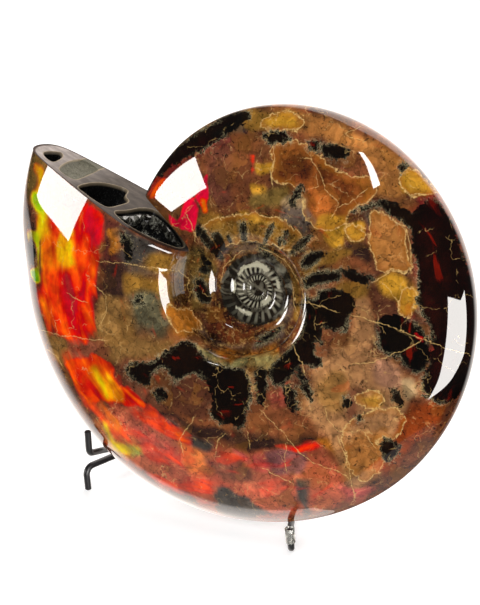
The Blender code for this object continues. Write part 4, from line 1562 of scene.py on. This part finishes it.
    def nacre(self, node: Adder, colour: Socket, place: Socket) -> Socket:
        """Nacre that splits light: its hue runs from red over yellow to green, in streaks along the coil.

        Args:
            node: adds a node to the material.
            colour: what lies below.
            place: coordinates in millimetres.

        Returns:
            The colour.
        """
        fire, shown, age, share = (node("Attribute", out=2, attribute_name=name)
                                   for name in ("fire", "nacre", "age", "share"))
        along = node("Math", (age, 0.075), operation='MULTIPLY')
        across = node("Math", (share, 8.0), operation='MULTIPLY')
        run = node("CombineXYZ", (along, across))
        streak = node("TexNoise", {"Vector": run, "Scale": 1.0, "Detail": 4.0, "Roughness": 0.5,
                                   "Distortion": 0.5})
        shift = node("MapRange", (streak, 0.32, 0.68, -0.12, 0.12))
        fire = node("Math", (fire, shift), operation='ADD', use_clamp=True)
        hue = node("Math", (fire, 2.4), operation='POWER')
        dim = node("MapRange", (hue, 0.3, 1.0, 1.0, 0.5))
        hue = node("MapRange", (hue, 0, 1, 0.992, 1.275))
        hue = node("Math", (hue,), operation='FRACT')
        light = node("MapRange", (streak, 0.34, 0.64, 0.46, 0.95))
        veil = node("TexNoise", {"Vector": place, "Scale": self.blotches, "Detail": 3.0, "Roughness": 0.5})
        veil = node("MapRange", (veil, 0.35, 0.6, 0.68, 1.08))
        for factor in (veil, dim):
            light = node("Math", (light, factor), operation='MULTIPLY')
        flame = node("CombineColor", (hue, 1.0, light), mode='HSV')
        fray = node("MapRange", (streak, 0.3, 0.7, -0.35, 0.35))
        shown = node("Math", (shown, fray), operation='ADD')
        shown = node("MapRange", (shown, 0.2, 0.85, 0.0, 0.97), interpolation_type='SMOOTHSTEP')
        return node("Mix", {0: shown, 6: colour, 7: flame}, 2, data_type='RGBA')

    def veins(self, node: Adder, colour: Socket, place: Socket, grain: Socket, blotch: Socket) -> Socket:
        """Golden mineral in old cracks, thin and broken, and a net of hair cracks between them.

        Args:
            node: adds a node to the material.
            colour: what lies below.
            place: coordinates in millimetres.
            grain: noise of the grains.
            blotch: noise of the blotches.

        Returns:
            The colour.
        """
        gold = linear(self.vein.value)
        for number in "ab":
            off = node("Attribute", out=2, attribute_name="vein_" + number)
            near = node("Attribute", out=2, attribute_name="vein_reach_" + number)
            for noise, size in ((blotch, 4.0), (grain, 1.2)):
                wander = node("MapRange", (noise, 0, 1, -size, size))
                off = node("Math", (off, wander), operation='ADD')
            off = node("Math", (off,), operation='ABSOLUTE')
            line = node("MapRange", (off, 0.6, 0.15))
            near = node("MapRange", (near, 5.0, 3.5, 0.0, 0.7))
            part = node("MapRange", (grain, 0.38, 0.52, 0.2))
            for factor in (near, part):
                line = node("Math", (line, factor), operation='MULTIPLY')
            colour = node("Mix", {0: line, 6: colour, 7: gold}, 2, data_type='RGBA')
        bend = node("TexNoise", {"Vector": place, "Scale": self.blotches, "Detail": 3.0}, 1)
        bend = node("VectorMath", {0: bend, "Scale": 9.0}, operation='SCALE')
        bent = node("VectorMath", (place, bend), operation='ADD')
        crack = node("TexVoronoi", {"Vector": bent, "Scale": self.cracks}, feature='DISTANCE_TO_EDGE')
        crack = node("MapRange", (crack, 0.014, 0.003))
        some = node("MapRange", (blotch, 0.48, 0.6, 0.0, 0.4))
        crack = node("Math", (crack, some), operation='MULTIPLY')
        return node("Mix", {0: crack, 6: colour, 7: gold}, 2, data_type='RGBA')

    def coil(self, node: Adder, colour: Socket, grain: Socket, blotch: Socket) -> tuple[Socket, Socket]:
        """The smallest whorls, turned to grey pyrite: short ribs, dark seams between the whorls.

        The ribs are 15 degrees apart, coarser than the real ones, which are too fine for the picture.

        Args:
            node: adds a node to the material.
            colour: what lies below.
            grain: noise of the grains.
            blotch: noise of the blotches.

        Returns:
            The colour, and how high the ribs stand.
        """
        grey, age, share, crust = (node("Attribute", out=2, attribute_name=name)
                                   for name in ("grey", "age", "share", "crust"))
        across = node("Math", (share, 1.0), operation='ADD')
        turn = node("Math", (across, 5.0, age), operation='MULTIPLY_ADD')
        turn = node("Math", (turn, 2 * math.pi / self.rib_pitch), operation='MULTIPLY')
        rib = node("Math", (turn,), operation='SINE')
        rib = node("MapRange", (rib, -0.2, 0.8))
        begin = node("MapRange", (across, 0.08, 0.3))
        end = node("MapRange", (across, 0.95, 0.7))
        inner = node("MapRange", (age, 780.0, 960.0, 0.05, 0.7))
        for factor in (begin, end, inner):
            rib = node("Math", (rib, factor), operation='MULTIPLY')
        haze = node("MapRange", (blotch, 0.5, 0.68, 0.0, 0.4))
        haze = node("Math", (haze, end), operation='MULTIPLY')
        fray = node("MapRange", (grain, 0, 1, -3.0, 3.0))
        crust = node("Math", (crust, fray), operation='ADD')
        crust = node("MapRange", (crust, -0.4, 0.6))
        pale = rib
        for other in (haze, crust):
            pale = node("Math", (pale, other), operation='MAXIMUM')
        stone = node("Mix", {0: pale, 6: linear(self.pyrite_dark), 7: linear(self.pyrite_pale)}, 2,
                     data_type='RGBA')
        fray = node("MapRange", (grain, 0, 1, -0.7, 0.7))
        shown = node("Math", (grey, fray), operation='ADD')
        shown = node("MapRange", (shown, 0.3, 0.7, 0.0, 0.95))
        colour = node("Mix", {0: shown, 6: colour, 7: stone}, 2, data_type='RGBA')
        return colour, node("Math", (rib, shown), operation='MULTIPLY')


@dataclass(frozen=True)
class SawnFace:
    """Massive pyrite, sawn and polished, with chambers that are open or filled with fine grey-green silt.

    A thin satin polish over metal-brown grain gives the eye a surface duller than the shell beside it, with
    pale rims where crystals line the chambers. Painted shade turns the open chambers near black as they
    deepen. Grains are 0.7 mm and clouds 4.5 mm.
    """

    tip: str = "#968c86"
    middle: str = "#4a423b"
    throat: str = "#261d18"
    rim: str = "#93846c"
    filling: str = "#5c594c"
    copper: str = "#2e1a12"
    grains: float = 1.4
    clouds: float = 0.22
    skin: tuple = (1.6, 0.9)

    def build(self) -> bpy.types.Material:
        """Make the material; the mesh gives the distance to each outline in millimetres.

        Returns:
            The material.
        """
        material, node, place = start_material("sawn_pyrite")
        grain = node("TexNoise", {"Vector": place, "Scale": self.grains, "Detail": 5.0, "Roughness": 0.7})
        cloud = node("TexNoise", {"Vector": place, "Scale": self.clouds, "Detail": 5.0})
        share, sunk, filled, hollow, edge = (node("Attribute", out=2, attribute_name=name)
                                             for name in ("share", "sunk", "filled", "hollow", "edge"))
        light = node("MapRange", (cloud, 0.35, 0.65, 0.75, 1.25))
        out = node("MapRange", (share, 0.62, 0.95))
        deep = node("MapRange", (share, 0.55, 0.2))
        colour = node("Mix", {0: out, 6: linear(self.middle), 7: linear(self.tip)}, 2, data_type='RGBA')
        colour = node("Mix", {0: deep, 6: colour, 7: linear(self.throat)}, 2, data_type='RGBA')
        colour = node("VectorMath", {0: colour, "Scale": light}, operation='SCALE')
        fray = node("MapRange", (grain, 0, 1, -0.5, 0.5))
        speck = node("MapRange", (grain, 0.3, 0.7, 0.6, 1.4))
        filling = node("VectorMath", {0: linear(self.filling)[:3], "Scale": speck}, operation='SCALE')
        inside = node("Math", (filled, fray), operation='ADD')
        inside = node("MapRange", (inside, -0.1, 0.2))
        off = node("Math", (hollow, fray), operation='ADD')
        off = node("Math", (off,), operation='ABSOLUTE')
        rim = node("MapRange", (off, 0.6, 0.15, 0.0, 0.75))
        skin = node("MapRange", (edge, self.skin[0], self.skin[1], 0.0, 0.95))
        # painted shade: the open chambers darken to near black from 0.25 mm to 1.6 mm below the face
        deep = node("MapRange", (sunk, 0.25, 1.6))
        shade = node("MapRange", (grain, 0.55, 0.8, 0.004, 0.05))
        shade = node("CombineColor", (shade, shade, shade))
        layers = ((inside, filling), (rim, linear(self.rim)), (skin, linear(self.copper)), (deep, shade))
        for part, over in layers:
            colour = node("Mix", {0: part, 6: colour, 7: over}, 2, data_type='RGBA')
        bump = node("Bump", {"Height": grain, "Strength": 0.3, "Distance": 0.0002})
        rough = node("MapRange", (cloud, 0, 1, 0.25, 0.5))
        shader = node("BsdfPrincipled", {
            "Base Color": colour, "Roughness": rough, "Normal": bump, "Specular IOR Level": 0.0,
            "Coat Weight": 0.12, "Coat Roughness": 0.1})
        node("OutputMaterial", {"Surface": shader})
        return material


@dataclass(frozen=True)
class PowderCoat:
    """Black polyester powder, sprayed on steel wire and baked.

    It gives the eye a semi-matt black with soft highlights, broken by an orange-peel grain of 0.45 mm and
    by rubbed places about 3 mm long.
    """

    colour: str = "#17171a"
    peel: float = 2.2
    wear: float = 0.35

    def build(self) -> bpy.types.Material:
        """Make the material.

        Returns:
            The material.
        """
        material, node, place = start_material("black_powder_coated_steel")
        peel = node("TexNoise", {"Vector": place, "Scale": self.peel, "Detail": 3.0})
        worn = node("TexNoise", {"Vector": place, "Scale": self.wear, "Detail": 4.0})
        light = node("MapRange", (worn, 0, 1, 0.75, 1.7))
        colour = node("VectorMath", {0: linear(self.colour)[:3], "Scale": light}, operation='SCALE')
        rough = node("MapRange", (peel, 0, 1, 0.3, 0.5))
        bump = node("Bump", {"Height": peel, "Strength": 0.35, "Distance": 0.0001})
        shader = node("BsdfPrincipled", {
            "Base Color": colour, "Roughness": rough, "Normal": bump, "Specular IOR Level": 0.6})
        node("OutputMaterial", {"Surface": shader})
        return material


@dataclass(frozen=True)
class ClearVinyl:
    """Clear soft vinyl, extruded as a tube.

    It gives the eye a glassy, faintly milky sleeve with small sharp glints, through which the dark wire
    shows. The milkiness comes and goes over 1.2 mm.
    """

    roughness: float = 0.08
    ior: float = 1.5
    transmission: float = 0.85
    clear: str = "#f2f1ea"
    milky: str = "#d9d8d0"
    haze: float = 0.8

    def build(self) -> bpy.types.Material:
        """Make the material.

        Returns:
            The material.
        """
        material, node, place = start_material("clear_vinyl")
        haze = node("TexNoise", {"Vector": place, "Scale": self.haze, "Detail": 3.0})
        rough = node("MapRange", (haze, 0, 1, self.roughness, 0.2))
        colour = node("Mix", {0: haze, 6: linear(self.clear), 7: linear(self.milky)}, 2, data_type='RGBA')
        shader = node("BsdfPrincipled", {
            "Base Color": colour, "Roughness": rough, "IOR": self.ior,
            "Transmission Weight": self.transmission})
        node("OutputMaterial", {"Surface": shader})
        return material


@dataclass(frozen=True)
class SmokyCrystal:
    """Dark calcite, grown as small crystals in the open chamber.

    Their clear glassy faces give the eye scattered glints on near black. Pale ones stand in groups of
    4 mm, of crystals of 1.1 mm.
    """

    dark: str = "#14120f"
    pale: str = "#8d8c80"
    groups: float = 0.25
    crystals: float = 0.9

    def build(self) -> bpy.types.Material:
        """Make the material.

        Returns:
            The material.
        """
        material, node, place = start_material("smoky_calcite_crystals")
        zone = node("TexNoise", {"Vector": place, "Scale": self.groups, "Detail": 3.0})
        each = node("TexNoise", {"Vector": place, "Scale": self.crystals, "Detail": 2.0})
        share = node("Math", (zone, each), operation='MULTIPLY')
        share = node("MapRange", (share, 0.22, 0.4))
        colour = node("Mix", {0: share, 6: linear(self.dark), 7: linear(self.pale)}, 2, data_type='RGBA')
        rough = node("MapRange", (each, 0, 1, 0.05, 0.3))
        shader = node("BsdfPrincipled", {
            "Base Color": colour, "Roughness": rough, "Coat Weight": 0.8, "Coat Roughness": 0.05})
        node("OutputMaterial", {"Surface": shader})
        return material


@dataclass(frozen=True)
class Softbox:
    """One studio light, placed by the direction that it comes from, in metres.

    A mirrored one is warm and shows only in gloss; any other is white and lights only what is matt.
    """

    name: str
    azimuth: float
    elevation: float
    distance: float
    width: float
    height: float
    radiance: float
    roll: float = 0.0
    mirrored: bool = True
    warm: tuple = (1.0, 0.965, 0.93)

    def build(self, target: Vector) -> None:
        """Make the light and aim it.

        Args:
            target: where it aims, in metres.
        """
        a, e = math.radians(self.azimuth), math.radians(self.elevation)
        back = Vector((math.sin(a) * math.cos(e), -math.cos(a) * math.cos(e), math.sin(e)))
        data = bpy.data.lights.new(self.name, 'AREA')
        data.shape = 'RECTANGLE'
        data.size = self.width
        data.size_y = self.height
        data.color = self.warm if self.mirrored else (1.0, 1.0, 1.0)
        data.energy = self.radiance * math.pi * self.width * self.height
        light = bpy.data.objects.new(self.name, data)
        light.location = target + back * self.distance
        turned = back.to_track_quat('Z', 'Y') @ Quaternion((0, 0, 1), math.radians(self.roll))
        light.rotation_euler = turned.to_euler()
        light.visible_glossy = self.mirrored
        light.visible_diffuse = not self.mirrored
        light.visible_camera = False
        bpy.context.scene.collection.objects.link(light)


@dataclass
class Studio:
    """Pale floor, soft lights, and a surround that is white behind the object and dim before it."""

    target: tuple = (0.0, -0.03, 0.10)
    half_floor: float = 6.0
    paper: float = 0.6
    paper_glow: float = 0.62
    surround: tuple = (1.0, 0.93, 0.88, 1.0)
    boxes: tuple = (
        Softbox("left_window", -62.0, 1.2, 1.2, 0.235, 0.19, 15.0, -22.0),
        Softbox("corner_window", -49.0, 12.8, 1.2, 0.30, 0.16, 17.0, 48.0),
        Softbox("right_window", 37.0, 0.5, 0.62, 0.33, 0.26, 15.0),
        Softbox("side_window", 66.0, 0.5, 0.62, 0.31, 0.26, 15.0),
        Softbox("strip_light", -4.5, 32.5, 1.2, 0.16, 0.03, 20.0, -58.0),
        Softbox("floor_wash", 170.0, 75.0, 1.5, 1.2, 1.2, 4.0, 0.0, False),
        Softbox("front_fill", 12.0, 38.0, 1.4, 0.9, 0.9, 5.5, 0.0, False),
    )

    def build(self) -> None:
        """Make the floor, the lights and the surround.

        The surround is dim, but bright behind the object, unless far below it, and also under a horizon
        that falls from left to right. The camera sees plain white in its place.
        """
        half = self.half_floor
        mesh = bpy.data.meshes.new("floor")
        corners = [(-half, -half, 0), (half, -half, 0), (half, half, 0), (-half, half, 0)]
        mesh.from_pydata(corners, [], [(0, 1, 2, 3)])
        floor = bpy.data.objects.new("floor", mesh)
        bpy.context.scene.collection.objects.link(floor)
        paint = bpy.data.materials.new("matt_white_paper")
        node = start_nodes(paint)
        matt = node("BsdfDiffuse", {"Color": (self.paper, self.paper, self.paper, 1.0)})
        glow = node("Emission", {"Strength": self.paper_glow})
        shader = node("AddShader", (matt, glow))
        node("OutputMaterial", {"Surface": shader})
        floor.visible_glossy = False
        mesh.materials.append(paint)
        for box in self.boxes:
            box.build(Vector(self.target))
        world = bpy.data.worlds.new("studio")
        node = start_nodes(world)
        heading = node("TexCoord", out=0)
        x, y, height = (node("SeparateXYZ", (heading,), number) for number in range(3))
        front = node("Math", (y, -1.0), operation='MULTIPLY')
        turn = node("Math", (x, front), operation='ARCTAN2')
        level = node("VectorMath", (heading, (1.0, 1.0, 0.0)), operation='MULTIPLY')
        level = node("VectorMath", (level,), operation='NORMALIZE')
        behind = node("SeparateXYZ", (level,), 1)
        behind = node("MapRange", (behind, 0.7, 0.92, 0.06, 2.4), interpolation_type='SMOOTHSTEP')
        low = node("MapRange", (height, -0.62, -0.4, 0.2))
        behind = node("Math", (behind, low), operation='MULTIPLY')
        horizon = node("MapRange", (turn, -1.45, -0.9, -0.16, -0.44))
        sink = node("MapRange", (turn, 0.4, 1.4, 0.0, 0.34))
        horizon = node("Math", (horizon, sink), operation='SUBTRACT')
        below = node("Math", (horizon, height), operation='SUBTRACT')
        below = node("MapRange", (below, -0.03, 0.05), interpolation_type='SMOOTHSTEP')
        table = node("MapRange", (turn, -1.5, -0.9, 2.2, 0.5))
        table = node("Math", (table, below), operation='MULTIPLY')
        light = node("Math", (behind, table), operation='MAXIMUM')
        around = node("Background", {"Color": self.surround, "Strength": light})
        white = node("Background", {"Strength": 1.0})
        seen = node("LightPath")
        both = node("MixShader", (seen, around, white))
        node("OutputWorld", {"Surface": both})
        bpy.context.scene.world = world
        bpy.context.scene.view_settings.view_transform = 'Standard'


LEFT_ARM = ((-68.2, -31.1, 36.0), (-67.9, -30.9, 25.2), (-67.9, -15.0, 19.6), (-60.0, 20.0, 8.0),
            (-17.3, 84.6, 4.6))
LEFT_LEG = ((-64.8, 12.0, 9.8), (-76.4, -18.8, 10.6), (-75.6, -18.8, 0.0))
RIGHT_ARM = ((28.5, -36.8, 11.6), (29.2, -36.4, 0.75), (22.8, -22.0, 3.5), (-10.9, 84.0, 4.6))
REAR_STRUT = ((-8.0, 24.5, 152.0), (-8.0, 23.8, 136.0), (-14.0, 84.0, 8.0), (-14.0, 84.96, 0.0))


def main() -> None:
    """Build the fossil, its stand and the studio, and write down how large the result is."""
    logging.basicConfig(level=logging.INFO, format="%(name)s: %(message)s")
    shell = Ammonite()
    pole = np.asarray(shell.coil.pole)
    foot = pole * (1.0, 1.0, 0.0)
    shell.camera.build(pole)
    body = shell.build()
    shell.paint(body, MARKINGS)
    body.data.materials.append(PolishedShell().build())
    body.data.materials.append(SawnFace().build())
    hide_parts("ammonite")
    pieces = [body]
    coat = PowderCoat().build()
    for wire in (WirePiece("left_arm", LEFT_ARM), WirePiece("left_leg", LEFT_LEG, True),
                 WirePiece("right_arm", RIGHT_ARM), WirePiece("rear_strut", REAR_STRUT, True)):
        piece = wire.build(foot)
        piece.data.materials.append(coat)
        pieces.append(piece)
    tube = Sleeve(RIGHT_ARM[0], RIGHT_ARM[1]).build(foot)
    tube.data.materials.append(ClearVinyl().build())
    pieces.append(tube)
    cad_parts["crystal_lining"].data.materials.clear()
    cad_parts["crystal_lining"].data.materials.append(SmokyCrystal().build())
    for piece in pieces:
        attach(piece, "root")
        LOG.info("%s: %d faces", piece.name, len(piece.data.polygons))
    Studio().build()


if __name__ == "__main__":
    main()
